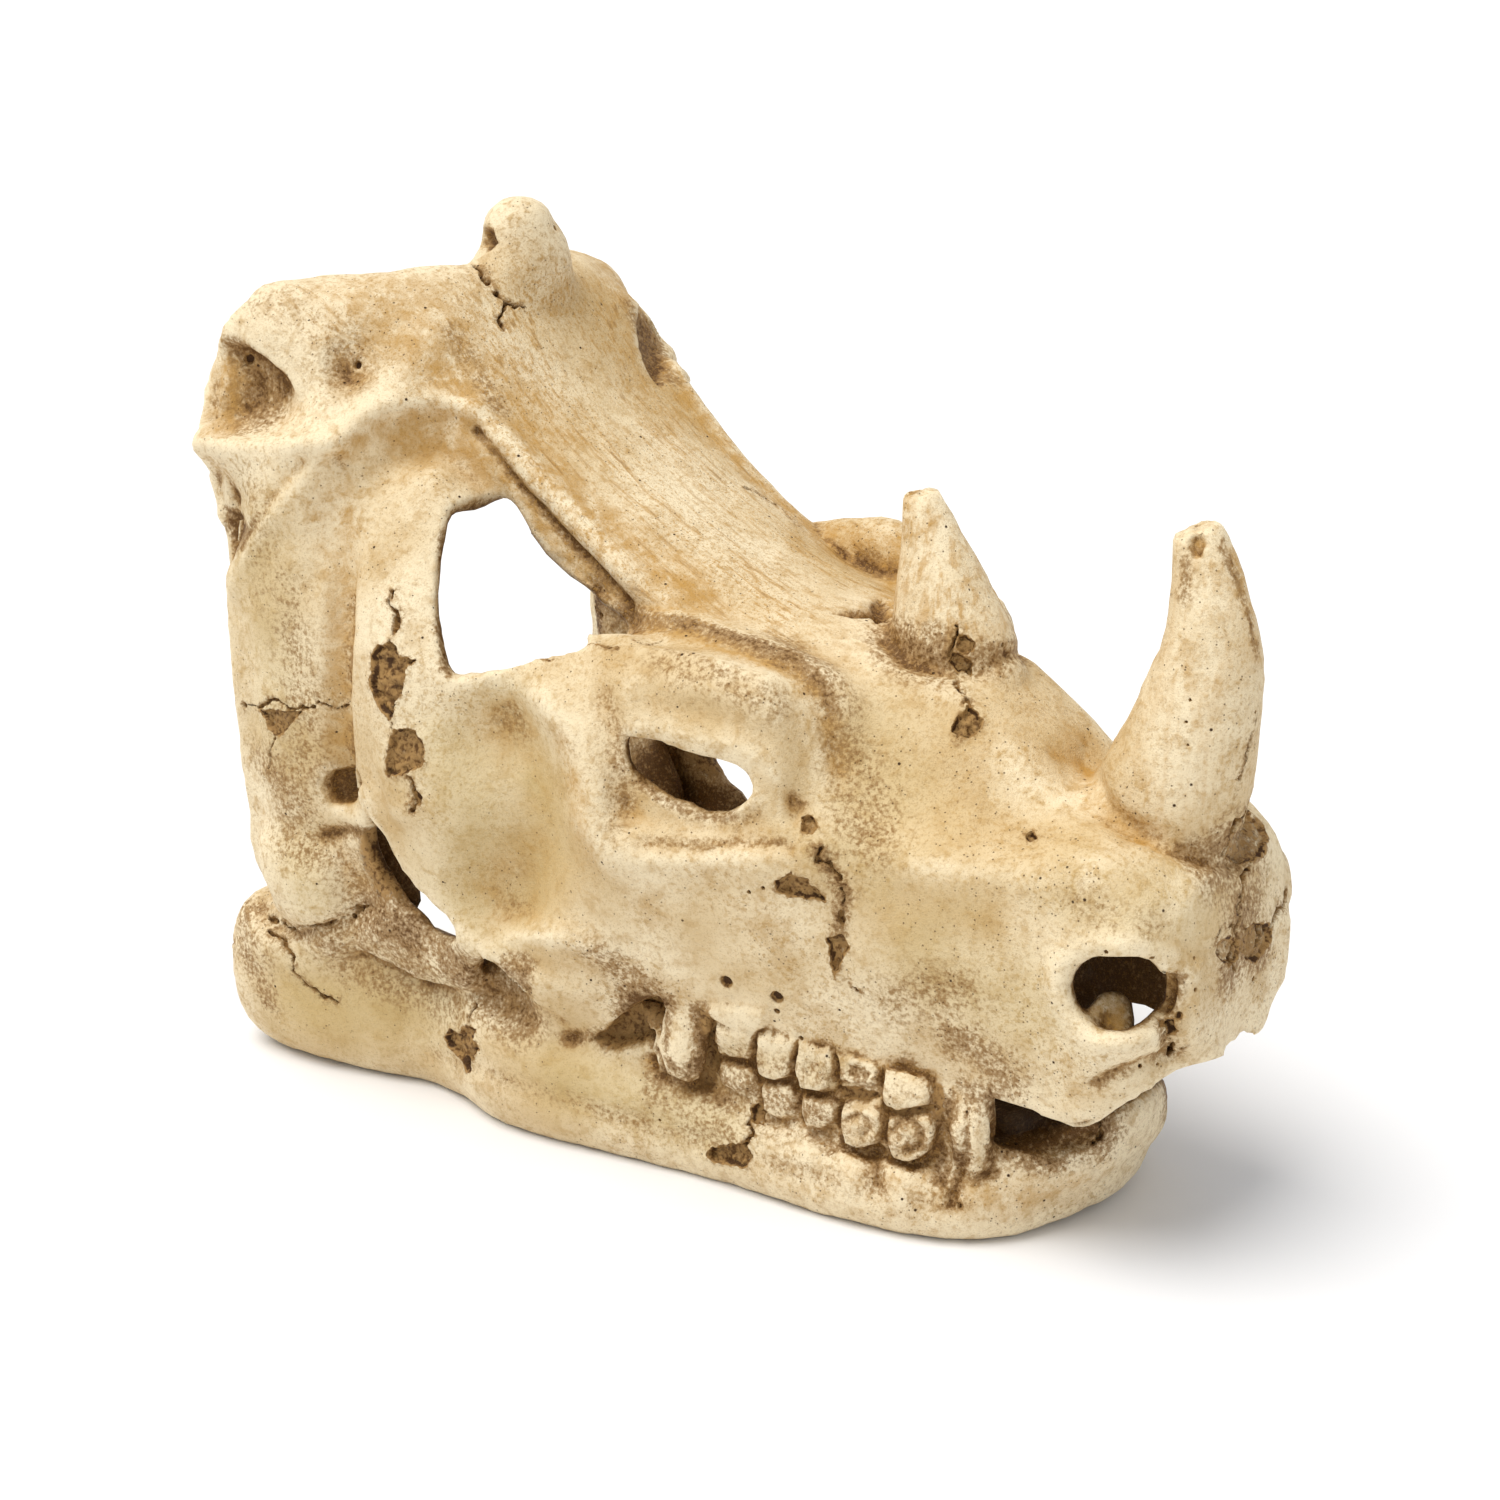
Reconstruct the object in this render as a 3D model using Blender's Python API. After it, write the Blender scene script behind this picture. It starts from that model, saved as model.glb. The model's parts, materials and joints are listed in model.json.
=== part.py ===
"""A rhinoceros skull cast in one piece: hollow, with its jaws joined, open behind and below.

+X points to the snout and +Z is up. The skull rests on the flat underside of its lower jaw at Z = 0.
The origin is the middle of the underside of its bounding box. The near side, at -Y, and the far side
mirror each other, apart from the nostrils and one lump of the far brow. Tables are in millimetres.
"""

import math

import bmesh
import bpy
import numpy as np

MM = 0.001
WALL = 5.0  # thickness of the cast wall
FOOT = 0.8  # height at which the underside of the jaw is planed flat
CREST_HEIGHT = 182.0  # top of the crest, behind
FUSE_VOXEL = 1.4
SMOOTH_ROUNDS = 7
MOST_TRIANGLES = 9300

# Half cross-sections of the outside of the skull, from the crown down the side: (x, [(y, z), ...]).
# Points: crown, crown edge, temporal ridge, upper side, side, cheek, lower side, lower edge.
STATIONS = [
    (-113.0, [(0, 181), (25, 180), (42, 177), (53, 171), (61, 156), (61, 128), (58, 92), (56, 50)]),
    (-106.0, [(0, 181), (25, 180), (42, 178), (53, 173), (61, 158), (61, 128), (59, 92), (57, 50)]),
    (-98.0, [(0, 181), (25, 180), (41, 179), (52, 175), (60, 160), (61, 130), (61, 92), (59, 44)]),
    (-86.0, [(0, 182), (23, 180), (38, 179), (50, 175), (60, 158), (62, 130), (62, 92), (60, 40)]),
    (-74.0, [(0, 182), (20, 181), (34, 178), (46, 171), (57, 152), (61, 124), (62, 90), (58, 36)]),
    (-65.0, [(0, 178), (18, 178), (30, 173), (41, 164), (52, 147), (60, 118), (62, 88), (56, 33)]),
    (-56.0, [(0, 169), (16, 168), (28, 164), (38, 156), (50, 139), (61, 115), (62, 86), (55, 31)]),
    (-46.0, [(0, 157), (15, 156), (29, 153), (38, 147), (50, 132), (62, 110), (63, 80), (55, 30)]),
    (-36.0, [(0, 148), (15, 147), (29, 144), (37, 137), (49, 124), (61, 104), (63, 76), (55, 31)]),
    (-24.0, [(0, 140), (14, 139), (28, 135), (36, 127), (46, 118), (60, 102), (62, 76), (56, 32)]),
    (-12.0, [(0, 133), (14, 132), (27, 128), (35, 120), (44, 114), (57, 101), (61, 74), (53, 31)]),
    (0.0, [(0, 127), (14, 126), (26, 122), (35, 117), (44, 114), (53, 100), (58, 74), (48, 32)]),
    (12.0, [(0, 122), (13, 121), (24, 117), (35, 116), (44, 112), (50, 98), (55, 73), (45, 33)]),
    (26.0, [(0, 118), (13, 117), (23, 114), (34, 116), (43, 111), (48, 95), (51, 72), (42, 33)]),
    (40.0, [(0, 115), (12, 114), (21, 111), (31, 112), (40, 106), (45, 90), (47, 68), (39, 33)]),
    (52.0, [(0, 113), (12, 112), (20, 108), (27, 103), (34, 95), (40, 80), (42, 62), (36, 33)]),
    (64.0, [(0, 110), (11, 109), (18, 104), (25, 98), (32, 88), (37, 76), (38, 58), (33, 33)]),
    (76.0, [(0, 102), (11, 101), (18, 97), (25, 91), (31, 84), (35, 73), (35, 56), (31, 33)]),
    (88.0, [(0, 93), (11, 92), (18, 90), (25, 86), (30, 80), (33, 70), (33, 54), (30, 33)]),
    (98.0, [(0, 92), (11, 91), (19, 89), (26, 85), (30, 78), (32, 69), (32, 54), (29, 32)]),
    (106.0, [(0, 91), (10, 90), (19, 88), (26, 84), (30, 77), (32, 68), (32, 54), (29, 33)]),
    (113.0, [(0, 87), (10, 86), (18, 84), (25, 80), (29, 74), (32, 66), (31, 55), (24, 39)]),
    (118.0, [(0, 82), (8, 82), (15, 80), (20, 77), (23, 71), (24, 64), (22, 54), (15, 44)]),
]
NOSE_MIDDLE = (119.5, 0.0, 43.5)

# Openings in the side wall, as outlines seen from the side (x, z).
TEMPORAL_WINDOW = [
    (-32, 103.5), (-39, 117), (-42, 127), (-43.5, 136.5), (-39.5, 136), (-33, 129),
    (-25, 123), (-16, 117.5), (-8, 113.5), (-6, 112), (-10, 110.5), (-20, 107),
]  # fmt: skip
ORBIT = [
    (9, 98), (17, 98), (27, 96), (33, 96), (38, 95), (40, 91),
    (37, 87), (33, 84), (28, 83), (21, 85), (15, 88), (11, 93),
]  # fmt: skip
CHEEK_SLIT = [
    (-60, 65), (-59, 60), (-56, 55.5), (-52, 51.5), (-47.5, 47), (-43.5, 44.5),
    (-38, 45), (-36.5, 47.5), (-45, 51.5), (-51, 57.5), (-55, 64), (-56, 65.5),
]  # fmt: skip
CHEEK_RECESS = [(-30, 44), (-22, 39.5), (-14.5, 34), (-8, 31), (-8, 18), (-22, 18), (-30, 27)]
NOSTRIL = [
    (101, 61), (103, 65), (106, 67), (111, 68), (114, 67),
    (117, 63), (117, 57), (114, 54), (107, 53), (103, 56),
]  # fmt: skip
FAR_NOSTRIL = [(95, 61), (98, 66), (102, 67), (104, 63), (103, 57), (98, 55)]

# Rear limit of the walls: by distance from the middle (the V of the crest) and by height.
CREST_EDGE = [
    (0, -67), (10, -72), (24, -80), (36, -90), (46, -99), (54, -106), (60, -113), (90, -113),
]  # fmt: skip
REAR_EDGE = [
    (40, -99), (60, -100), (90, -101), (108, -101), (119, -99.5), (128, -104.5),
    (136, -106), (145, -106.5), (158, -105.5), (168, -103), (176, -98), (190, -98),
]  # fmt: skip

# Relief of the outside on both sides: (radius, height, crispness, [(x, distance from the middle, z), ...]).
RELIEF = [
    # lobe of the temple, with the notch behind it
    (4.5, 2.5, 2, [(-97, 62, 117), (-90, 63, 125), (-79, 64, 134), (-71, 61, 141), (-67, 57, 146)]),
    (4.0, -2.5, 2, [(-68, 60, 134), (-69, 61, 128), (-73, 62, 121)]),
    # ridge that runs from the wing along the crown to the front of the brow
    (3.4, 3.6, 2, [(-63, 55, 146), (-60, 50, 152), (-57, 44, 155), (-51, 38, 156), (-47, 34, 154)]),
    (3.4, 3.6, 2, [(-47, 34, 154), (-41, 31, 149), (-29, 30, 139), (-18, 30, 130), (-5, 31, 122)]),
    (3.4, 3.6, 2, [(-5, 31, 122), (13, 30, 118), (21, 27, 116), (33, 29, 115), (42, 32, 112)]),
    (3.4, 3.6, 2, [(42, 32, 112), (47, 33, 106), (51, 36, 97), (55, 42, 85)]),
    # shelf above the temporal window
    (5.0, -6.0, 2, [(-59, 55, 144), (-56, 48, 148), (-51, 42, 149), (-46, 40, 146), (-39, 37, 139)]),
    (5.0, -6.0, 2, [(-39, 37, 139), (-30, 35, 132), (-19, 35, 125), (-7, 36, 118)]),
    # wing and the groove between pillar and cheek
    (6.0, 2.0, 2, [(-63, 54, 149), (-63, 47, 157), (-61, 40, 162), (-60, 33, 168)]),
    (3.2, -4.5, 2, [(-62, 60, 143), (-62, 60, 137), (-63, 61, 124), (-62, 61, 111)]),
    (3.2, -4.5, 2, [(-62, 61, 111), (-63, 61, 98), (-64, 61, 84), (-65, 60, 72)]),
    (3.5, 2.5, 2, [(-104, 62, 143), (-92, 63, 145), (-82, 62, 146), (-72, 58, 148), (-66, 55, 149)]),
    # hollow in the side of the wing, and the pits below it
    (9.0, -12.0, 4, [(-97, 60, 158), (-85, 58, 156)]),
    (5.0, -3.0, 2, [(-70, 49, 164)]),
    (6.0, -5.0, 2, [(-103, 61, 134), (-97, 61, 130), (-100, 62, 122)]),
    # brow and its groove
    (8.0, 3.0, 2, [(11, 48, 106), (25, 46, 108), (36, 43, 106)]),
    (3.0, -3.5, 2, [(-4, 36, 117), (8, 39, 116), (17, 37, 116), (29, 36, 115), (37, 35, 113)]),
    (3.0, -3.5, 2, [(37, 35, 113), (42, 36, 109), (45, 37, 102), (47, 38, 93), (49, 42, 85)]),
    # hollow of the cheek and the ridges round the orbit
    (12.0, -4.0, 2, [(-14, 57, 85), (-11, 56, 76), (-16, 57, 66)]),
    (6.0, 1.6, 2, [(-5, 54, 103), (2, 55, 96), (6, 56, 87), (5, 57, 77)]),
    (4.5, 1.6, 2, [(10, 57, 74), (19, 54, 77), (29, 51, 78), (41, 47, 79), (50, 43, 81)]),
    (4.5, 1.5, 2, [(54, 43, 84), (60, 38, 82), (70, 35, 80), (86, 32, 80), (103, 28, 81)]),
    (9.0, -2.0, 2, [(55, 30, 98), (66, 28, 92), (80, 25, 90)]),
    (3.5, -2.5, 2, [(11, 54, 84), (18, 53, 81), (28, 51, 81), (40, 47, 82)]),
    (4.0, 1.5, 2, [(-18, 59, 50), (-8, 56, 50), (3, 53, 50)]),
    (4.0, -2.0, 2, [(-68, 61, 75)]),
    # groove round the foot of the nasal horn
    (4.0, -2.0, 2, [(86, 3, 95), (97, 13, 91), (105, 16, 89)]),
]

# Teeth of one side: (x, distance from the middle, z, half length, half depth, half height).
UPPER_TEETH = [
    (26, 38.5, 31, 4.4, 5, 5.5),
    (36, 37.5, 31, 4.4, 5, 5.5),
    (46, 36.5, 31.5, 4.2, 5, 5.5),
    (55, 34.5, 33, 3.8, 4.5, 4.5),
    (68, 33, 31, 4.8, 4.5, 5.5),
]
LOWER_TEETH = [
    (24, 37, 20, 4.4, 5, 5.5),
    (35, 36, 19, 4.4, 5, 5.5),
    (44, 35.5, 19, 4.4, 5, 5.5),
    (56, 34.5, 17.5, 5.4, 5, 6.5),
    (68, 33, 18.5, 5.6, 5, 6.5),
]


def smooth_curve(points, steps):
    """Points on a Catmull-Rom curve through the given rows, `steps` to each span."""
    rows = np.asarray(points, float)
    padded = np.vstack([2 * rows[0] - rows[1], rows, 2 * rows[-1] - rows[-2]])
    spans = (padded[:-3], padded[1:-2], padded[2:-1], padded[3:])
    before, start, end, after = (span[:, None, :] for span in spans)
    t = (np.arange(steps) / steps)[None, :, None]
    curve = 0.5 * (
        2 * start
        + (end - before) * t
        + (2 * before - 5 * start + 4 * end - after) * t**2
        + (3 * start - before - 3 * end + after) * t**3
    )
    return np.vstack([curve.reshape(-1, rows.shape[1]), rows[-1]])


def add_object(name, mesh):
    body = bpy.data.objects.new(name, mesh)
    bpy.context.scene.collection.objects.link(body)
    return body


def grid_object(name, points, tube=False):
    """Sheet of quads through a (rows, columns, 3) grid in millimetres. A tube closes its rows and its ends."""
    rows, columns = points.shape[:2]
    sheet = bmesh.new()
    verts = [sheet.verts.new(place) for place in (points.reshape(-1, 3) * MM).tolist()]
    for i in range(rows - 1):
        here = verts[i * columns : (i + 1) * columns]
        above = verts[(i + 1) * columns : (i + 2) * columns]
        for j in range(columns if tube else columns - 1):
            k = (j + 1) % columns
            sheet.faces.new((here[j], here[k], above[k], above[j]))
    if tube:
        sheet.faces.new(verts[:columns][::-1])
        sheet.faces.new(verts[-columns:])
    bmesh.ops.recalc_face_normals(sheet, faces=sheet.faces)
    mesh = bpy.data.meshes.new(name)
    sheet.to_mesh(mesh)
    sheet.free()
    return add_object(name, mesh)


def rod(name, path, reference=(0, 0, 1), power=1.0, steps=6, around=20):
    """Rounded rod along (x, y, z, side radius, other radius) rows. The other radius lies towards `reference`.

    A `power` under one makes the section squarer.
    """
    rows = smooth_curve(path, steps)
    centre, radii = rows[:, :3], rows[:, 3:5]
    tangent = np.gradient(centre, axis=0)
    tangent /= np.linalg.norm(tangent, axis=1, keepdims=True)
    side = np.cross(tangent, np.array(reference, float))
    side /= np.linalg.norm(side, axis=1, keepdims=True)
    other = np.cross(side, tangent)
    turn = np.linspace(0, 2 * np.pi, around, endpoint=False)[:, None]
    cosine = np.sign(np.cos(turn)) * np.abs(np.cos(turn)) ** power
    sine = np.sign(np.sin(turn)) * np.abs(np.sin(turn)) ** power

    def ring(at, angle, outwards):
        """Cross-section number `at`, or a ring of the rounded cap beyond it."""
        shift = outwards * min(radii[at]) * math.sin(math.radians(angle))
        shrink = math.cos(math.radians(angle))
        across = side[at] * radii[at, 0] * shrink * cosine
        along = other[at] * radii[at, 1] * shrink * sine
        return centre[at] + tangent[at] * shift + across + along

    cap_angles = (80, 55, 28)
    rings = [ring(0, angle, -1) for angle in cap_angles]
    rings += [ring(at, 0, 0) for at in range(len(centre))]
    rings += [ring(len(centre) - 1, angle, 1) for angle in cap_angles[::-1]]
    return grid_object(name, np.array(rings), tube=True)


def inside(outline, across, up):
    """Mask of the points inside a closed outline."""
    corners = np.asarray(outline, float)
    mask = np.zeros(len(across), bool)
    for (x0, z0), (x1, z1) in zip(corners, np.roll(corners, -1, axis=0)):
        if z0 == z1:
            continue
        crosses = (z0 > up) != (z1 > up)
        mask ^= crosses & (across < x0 + (up - z0) * (x1 - x0) / (z1 - z0))
    return mask


def limit(table, value):
    """The limit that a (value, limit) table gives at each value."""
    return np.interp(value, [row[0] for row in table], [row[1] for row in table])


def distance_to_path(points, path):
    """Distance of each point to the nearest part of a line through the rows."""
    rows = np.asarray(path, float)
    if len(rows) == 1:
        return np.linalg.norm(points - rows[0], axis=1)
    nearest = np.full(len(points), np.inf)
    for start, end in zip(rows[:-1], rows[1:]):
        span = end - start
        share = np.clip((points - start) @ span / (span @ span), 0, 1)
        foot = start + share[:, None] * span
        nearest = np.minimum(nearest, np.linalg.norm(points - foot, axis=1))
    return nearest


def relieved(points):
    """The (rows, columns, 3) sheet with its ridges raised and its hollows pressed in."""
    normals = np.cross(np.gradient(points, axis=1), np.gradient(points, axis=0))
    normals /= np.linalg.norm(normals, axis=2, keepdims=True) + 1e-9
    outward = (points - (0, 0, 90)) * (0, 1, 1)
    normals *= np.sign((normals * outward).sum(axis=2, keepdims=True))
    folded = points.reshape(-1, 3).copy()
    folded[:, 1] = abs(folded[:, 1])
    height = np.zeros(len(folded))
    strength = {}
    for radius, raised, crispness, path in RELIEF:
        share = np.exp(-((distance_to_path(folded, path) / radius) ** crispness))
        key = (radius, raised, crispness)
        strength[key] = np.maximum(strength.get(key, 0.0), share)
    for (_, raised, _), share in strength.items():
        height += raised * share
    return points + normals * height.reshape(points.shape[:2])[..., None]


def even_borders(sheet, rounds=8):
    """Takes the steps out of the borders that a cut left."""
    border = [vert for vert in sheet.verts if vert.is_boundary]
    for _ in range(rounds):
        moved = []
        for vert in border:
            ends = [edge.other_vert(vert).co for edge in vert.link_edges if edge.is_boundary]
            moved.append(vert.co * 0.5 + sum(ends[1:], ends[0]) * (0.5 / len(ends)))
        for vert, place in zip(border, moved):
            vert.co = place


def wall_points():
    """Grid over the forehead, both side walls and the front of the snout, with the relief on it."""
    profiles = np.array([[(x, y, z) for y, z in half] for x, half in STATIONS], float)
    lines = [smooth_curve(profiles[:, j], 10) for j in range(profiles.shape[1])]
    along = np.array(lines).transpose(1, 0, 2)
    rows = np.concatenate([along[:, :0:-1] * (1, -1, 1), along], axis=1)
    dense = np.array([smooth_curve(row, 12) for row in rows])
    front = dense[-1]
    nose = []
    for share in (0.2, 0.4, 0.6, 0.8, 0.98):
        bulge = (3 * math.sin(math.pi * share), 0, 0)
        nose.append(front + (NOSE_MIDDLE - front) * share + bulge)
    return relieved(np.concatenate([dense, np.array(nose)]))


def solidified(sheet, offset):
    wall = sheet.modifiers.new("wall", "SOLIDIFY")
    wall.thickness = WALL * MM
    wall.offset = offset
    return sheet


def face_shell():
    """Side walls, forehead and snout as one sheet, with its windows left out, then given its wall."""
    shell = grid_object("shell", wall_points())
    sheet = bmesh.new()
    sheet.from_mesh(shell.data)
    centres = np.array([face.calc_center_median() for face in sheet.faces]) / MM
    x, y, z = centres.T
    gone = (inside(TEMPORAL_WINDOW, x, z) | inside(ORBIT, x, z)) & (abs(y) > 30)
    gone |= inside(NOSTRIL, x, z) & (y < -12)
    gone |= inside(FAR_NOSTRIL, x, z) & (y > 15)
    gone |= inside(CHEEK_SLIT, x, z) | inside(CHEEK_RECESS, x, z)
    gone |= (x < limit(CREST_EDGE, abs(y))) | (x < limit(REAR_EDGE, z))
    lost = [face for face, is_gone in zip(sheet.faces, gone) if is_gone]
    bmesh.ops.delete(sheet, geom=lost, context="FACES")
    even_borders(sheet)
    sheet.to_mesh(shell.data)
    sheet.free()
    return solidified(shell, -1.0)


def occiput():
    """Hollowed back wall that hangs from the crest, with an arch below it."""
    half_rows = [
        [(-67, 0, 179), (-71, 12, 179), (-79, 25, 178), (-90, 37, 177), (-99, 47, 173), (-102, 56, 162)],
        [(-62, 0, 158), (-65, 12, 158), (-72, 24, 157), (-84, 35, 156), (-95, 46, 154), (-102, 58, 148)],
        [(-66, 0, 136), (-69, 12, 135), (-76, 24, 132), (-88, 38, 127), (-98, 50, 122), (-102, 57, 114)],
    ]
    rows = []
    for half_row in half_rows:
        half = np.array(half_row, float)
        rows.append(smooth_curve(np.vstack([half[:0:-1] * (1, -1, 1), half]), 6))
    rows = np.array(rows)
    columns = [smooth_curve(rows[:, j], 10) for j in range(rows.shape[1])]
    return solidified(grid_object("occiput", np.array(columns).transpose(1, 0, 2)), 0.0)


def side_parts():
    """Pillar, bar and inner walls of one side."""
    forward = (1, 0, 0)
    pillar = [
        (-84, -54, 136, 7, 13), (-84, -56, 118, 7, 15), (-83, -56, 95, 7, 15), (-82, -56, 75, 7, 15),
        (-81, -55, 60, 8, 15), (-80, -54, 46, 9, 15), (-79, -52, 34, 8, 12),
    ]  # fmt: skip
    pillar_foot = [(-82, -56, 60, 7, 13), (-81, -57, 52, 8.5, 15), (-80, -56, 43, 8, 14)]
    bar = [
        (-49, -54, 130, 4, 6), (-49, -56, 122, 5, 8), (-48, -58, 110, 5, 9),
        (-47, -59, 92, 5, 9), (-42, -59, 74, 5, 9),
    ]  # fmt: skip
    web = [(-17, -50, 38, 3, 4), (-15, -49, 26, 3, 4)]
    cheek_wall = [(-34, -47, 33, 4, 7), (-20, -46, 31, 4, 8), (-6, -44, 29, 5, 8), (14, -36, 28, 4, 9)]
    gum_wall = [(10, -36, 26, 4, 9), (30, -33, 24, 3.5, 10), (46, -32, 24, 3.5, 10), (52, -31, 22, 3.5, 8)]
    return [
        rod("pillar", pillar, forward),
        rod("pillar_foot", pillar_foot, forward),
        rod("bar", bar, forward),
        rod("web", web, forward),
        rod("cheek_wall", cheek_wall),
        rod("gum_wall", gum_wall),
    ]


def teeth():
    """Cheek teeth of one side, with the big tooth behind them and the tusk in front."""
    parts = []
    for name, table in (("upper_tooth", UPPER_TEETH), ("lower_tooth", LOWER_TEETH)):
        for x, out, z, length, depth, height in table:
            reach = height - 2
            path = [
                (x, -out, z - reach, length - 0.5, depth),
                (x, -out, z, length, depth),
                (x, -out, z + reach, length - 0.5, depth),
            ]
            parts.append(rod(name, path, (0, 1, 0), power=0.7))
    rear_tooth = [(14, -39, 40, 4.5, 4.5), (14.5, -40, 30, 5.4, 5.2), (15, -40, 22, 5, 5)]
    tusk = [(80, -28.5, 32, 2.6, 2.6), (79.5, -29, 24, 3.6, 3.6), (79, -29, 16, 3.8, 3.8)]
    parts.append(rod("rear_tooth", rear_tooth, (1, 0, 0)))
    parts.append(rod("tusk", tusk, (1, 0, 0)))
    return parts


def jaw_side():
    """One branch of the lower jaw, from its rear cup to the chin."""
    branch = [
        (-101, -48.5, 20, 13, 19.5), (-86, -48, 20, 13, 20), (-70, -45, 18.5, 12, 18.5),
        (-56, -42, 17.5, 10, 17.5), (-42, -43, 17, 9.5, 17), (-27, -46, 15.5, 9.5, 16),
        (-3, -42, 13, 9.5, 13.5), (21, -36.5, 10, 9.5, 10.5), (41, -34.5, 8.5, 9.5, 9),
        (60, -32, 8.3, 9.5, 8.5), (76, -26, 8.8, 9.5, 9), (87, -13, 10.5, 8, 9.5), (91, 0, 12, 8, 9.5),
    ]  # fmt: skip
    lip = [
        (70, -26, 13, 4, 4.5), (82, -23, 15, 3.5, 4.5), (92, -18, 19, 3, 4.5),
        (98, -10, 23, 3, 4.5), (100, 0, 25, 3, 4.5),
    ]  # fmt: skip
    return [rod("jaw_branch", branch, power=0.78), rod("chin_lip", lip)]


def middle_parts():
    """Horns, the knob on the crest, the floor between the jaw branches and the lump on the far brow."""
    forward = (1, 0, 0)
    nasal_horn = [
        (99, 0, 82, 14, 16), (103.5, 0, 91, 13.8, 15), (107.8, 0, 106, 11.9, 12.4),
        (110.3, 0, 120, 9.4, 9.9), (109, 0, 133, 6.9, 7.2), (107, 0, 141, 5.2, 5.4),
    ]  # fmt: skip
    frontal_horn = [
        (54, 0, 102, 13.5, 16.5), (52.5, 0, 112, 12, 14), (49.5, 0, 124, 9.2, 9.8),
        (46.8, 0, 134, 6.2, 6.4), (44.5, 0, 140.5, 4.4, 4.4),
    ]  # fmt: skip
    knob = [
        (-69, 0, CREST_HEIGHT - 14, 15, 11), (-67, 1, CREST_HEIGHT - 5, 13.5, 10.5),
        (-66, 1, CREST_HEIGHT + 1, 11.5, 10), (-66, 0, CREST_HEIGHT + 5.5, 9, 8),
    ]  # fmt: skip
    mouth_floor = [(24, 0, 9, 28, 3.5), (50, 0, 9, 27, 3.5), (74, 0, 10, 22, 4), (88, 0, 11, 12, 4)]
    far_brow = [(-8, 33, 117, 7, 7), (3, 34, 119, 7.5, 7.5), (13, 34, 119.5, 7.5, 7.5), (22, 33, 115, 6, 6)]
    return [
        rod("nasal_horn", nasal_horn, forward),
        rod("frontal_horn", frontal_horn, forward),
        rod("knob", knob, forward),
        rod("mouth_floor", mouth_floor),
        rod("far_brow", far_brow),
    ]


def mirrored(parts):
    """The parts and their mirror images in Y."""
    twins = []
    for part in parts:
        mesh = part.data.copy()
        for vertex in mesh.vertices:
            vertex.co.y = -vertex.co.y
        mesh.flip_normals()
        twins.append(add_object(part.name + "_far", mesh))
    return parts + twins


def apply_modifiers(body):
    bpy.ops.object.select_all(action="DESELECT")
    body.select_set(True)
    bpy.context.view_layer.objects.active = body
    for modifier in list(body.modifiers):
        bpy.ops.object.modifier_apply(modifier=modifier.name)


def fused(bodies, name):
    """One body out of overlapping solids: joined, remeshed, smoothed and reduced."""
    for body in bodies:
        apply_modifiers(body)
    for body in bodies:
        body.select_set(True)
    bpy.ops.object.join()
    body = bpy.context.object
    body.name = name
    remesh = body.modifiers.new("fuse", "REMESH")
    remesh.mode = "VOXEL"
    remesh.voxel_size = FUSE_VOXEL * MM
    smooth = body.modifiers.new("smooth", "SMOOTH")
    smooth.factor = 0.5
    smooth.iterations = SMOOTH_ROUNDS
    apply_modifiers(body)
    body.data.calc_loop_triangles()
    reduce = body.modifiers.new("reduce", "DECIMATE")
    reduce.ratio = MOST_TRIANGLES / len(body.data.loop_triangles)
    apply_modifiers(body)
    return body


def plane_foot(body):
    """Planes the underside of the jaw flat at FOOT."""
    depth = 20.0
    bpy.ops.mesh.primitive_cube_add(size=1.0, location=(0, 0, (FOOT - depth / 2) * MM))
    cutter = bpy.context.object
    cutter.name = "foot_cutter"
    cutter.scale = (0.4, 0.3, depth * MM)
    bpy.ops.object.transform_apply(location=True, rotation=False, scale=True)
    cut = body.modifiers.new("foot", "BOOLEAN")
    cut.operation = "DIFFERENCE"
    cut.solver = "EXACT"
    cut.object = cutter
    apply_modifiers(body)
    bpy.data.objects.remove(cutter)


def centre_on_foot(body):
    """Moves the mesh so that the origin is the middle of the underside of its bounding box."""
    places = np.array([vertex.co for vertex in body.data.vertices])
    middle = (places.min(axis=0) + places.max(axis=0)) / 2
    shift = (-middle[0], -middle[1], -places[:, 2].min())
    for vertex, place in zip(body.data.vertices, (places + shift).tolist()):
        vertex.co = place


def bone_resin():
    material = bpy.data.materials.new("bone_resin")
    material.use_nodes = True
    shader = material.node_tree.nodes["Principled BSDF"]
    shader.inputs["Base Color"].default_value = (0.72, 0.60, 0.40, 1.0)
    shader.inputs["Roughness"].default_value = 0.65
    return material


def main():
    for old in list(bpy.data.objects):
        bpy.data.objects.remove(old)
    bodies = [face_shell(), occiput()]
    bodies += mirrored(side_parts() + jaw_side() + teeth())
    bodies += middle_parts()
    skull = fused(bodies, "skull")
    plane_foot(skull)
    centre_on_foot(skull)
    skull.data.materials.clear()
    skull.data.materials.append(bone_resin())
    skull.data.shade_smooth()


if __name__ == "__main__":
    main()
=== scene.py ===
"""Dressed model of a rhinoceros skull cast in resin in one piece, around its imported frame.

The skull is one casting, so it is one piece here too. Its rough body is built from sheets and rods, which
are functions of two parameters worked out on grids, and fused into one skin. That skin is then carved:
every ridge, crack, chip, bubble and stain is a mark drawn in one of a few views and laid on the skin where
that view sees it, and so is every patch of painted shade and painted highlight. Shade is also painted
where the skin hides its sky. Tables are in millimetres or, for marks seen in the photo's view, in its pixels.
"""

from __future__ import annotations

import json
import logging
import math
from collections.abc import Iterator
from contextlib import contextmanager
from dataclasses import dataclass, field, replace
from enum import Enum, IntEnum

import bmesh
import bpy
import numpy as np
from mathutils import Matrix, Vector
from mathutils.bvhtree import BVHTree

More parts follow.
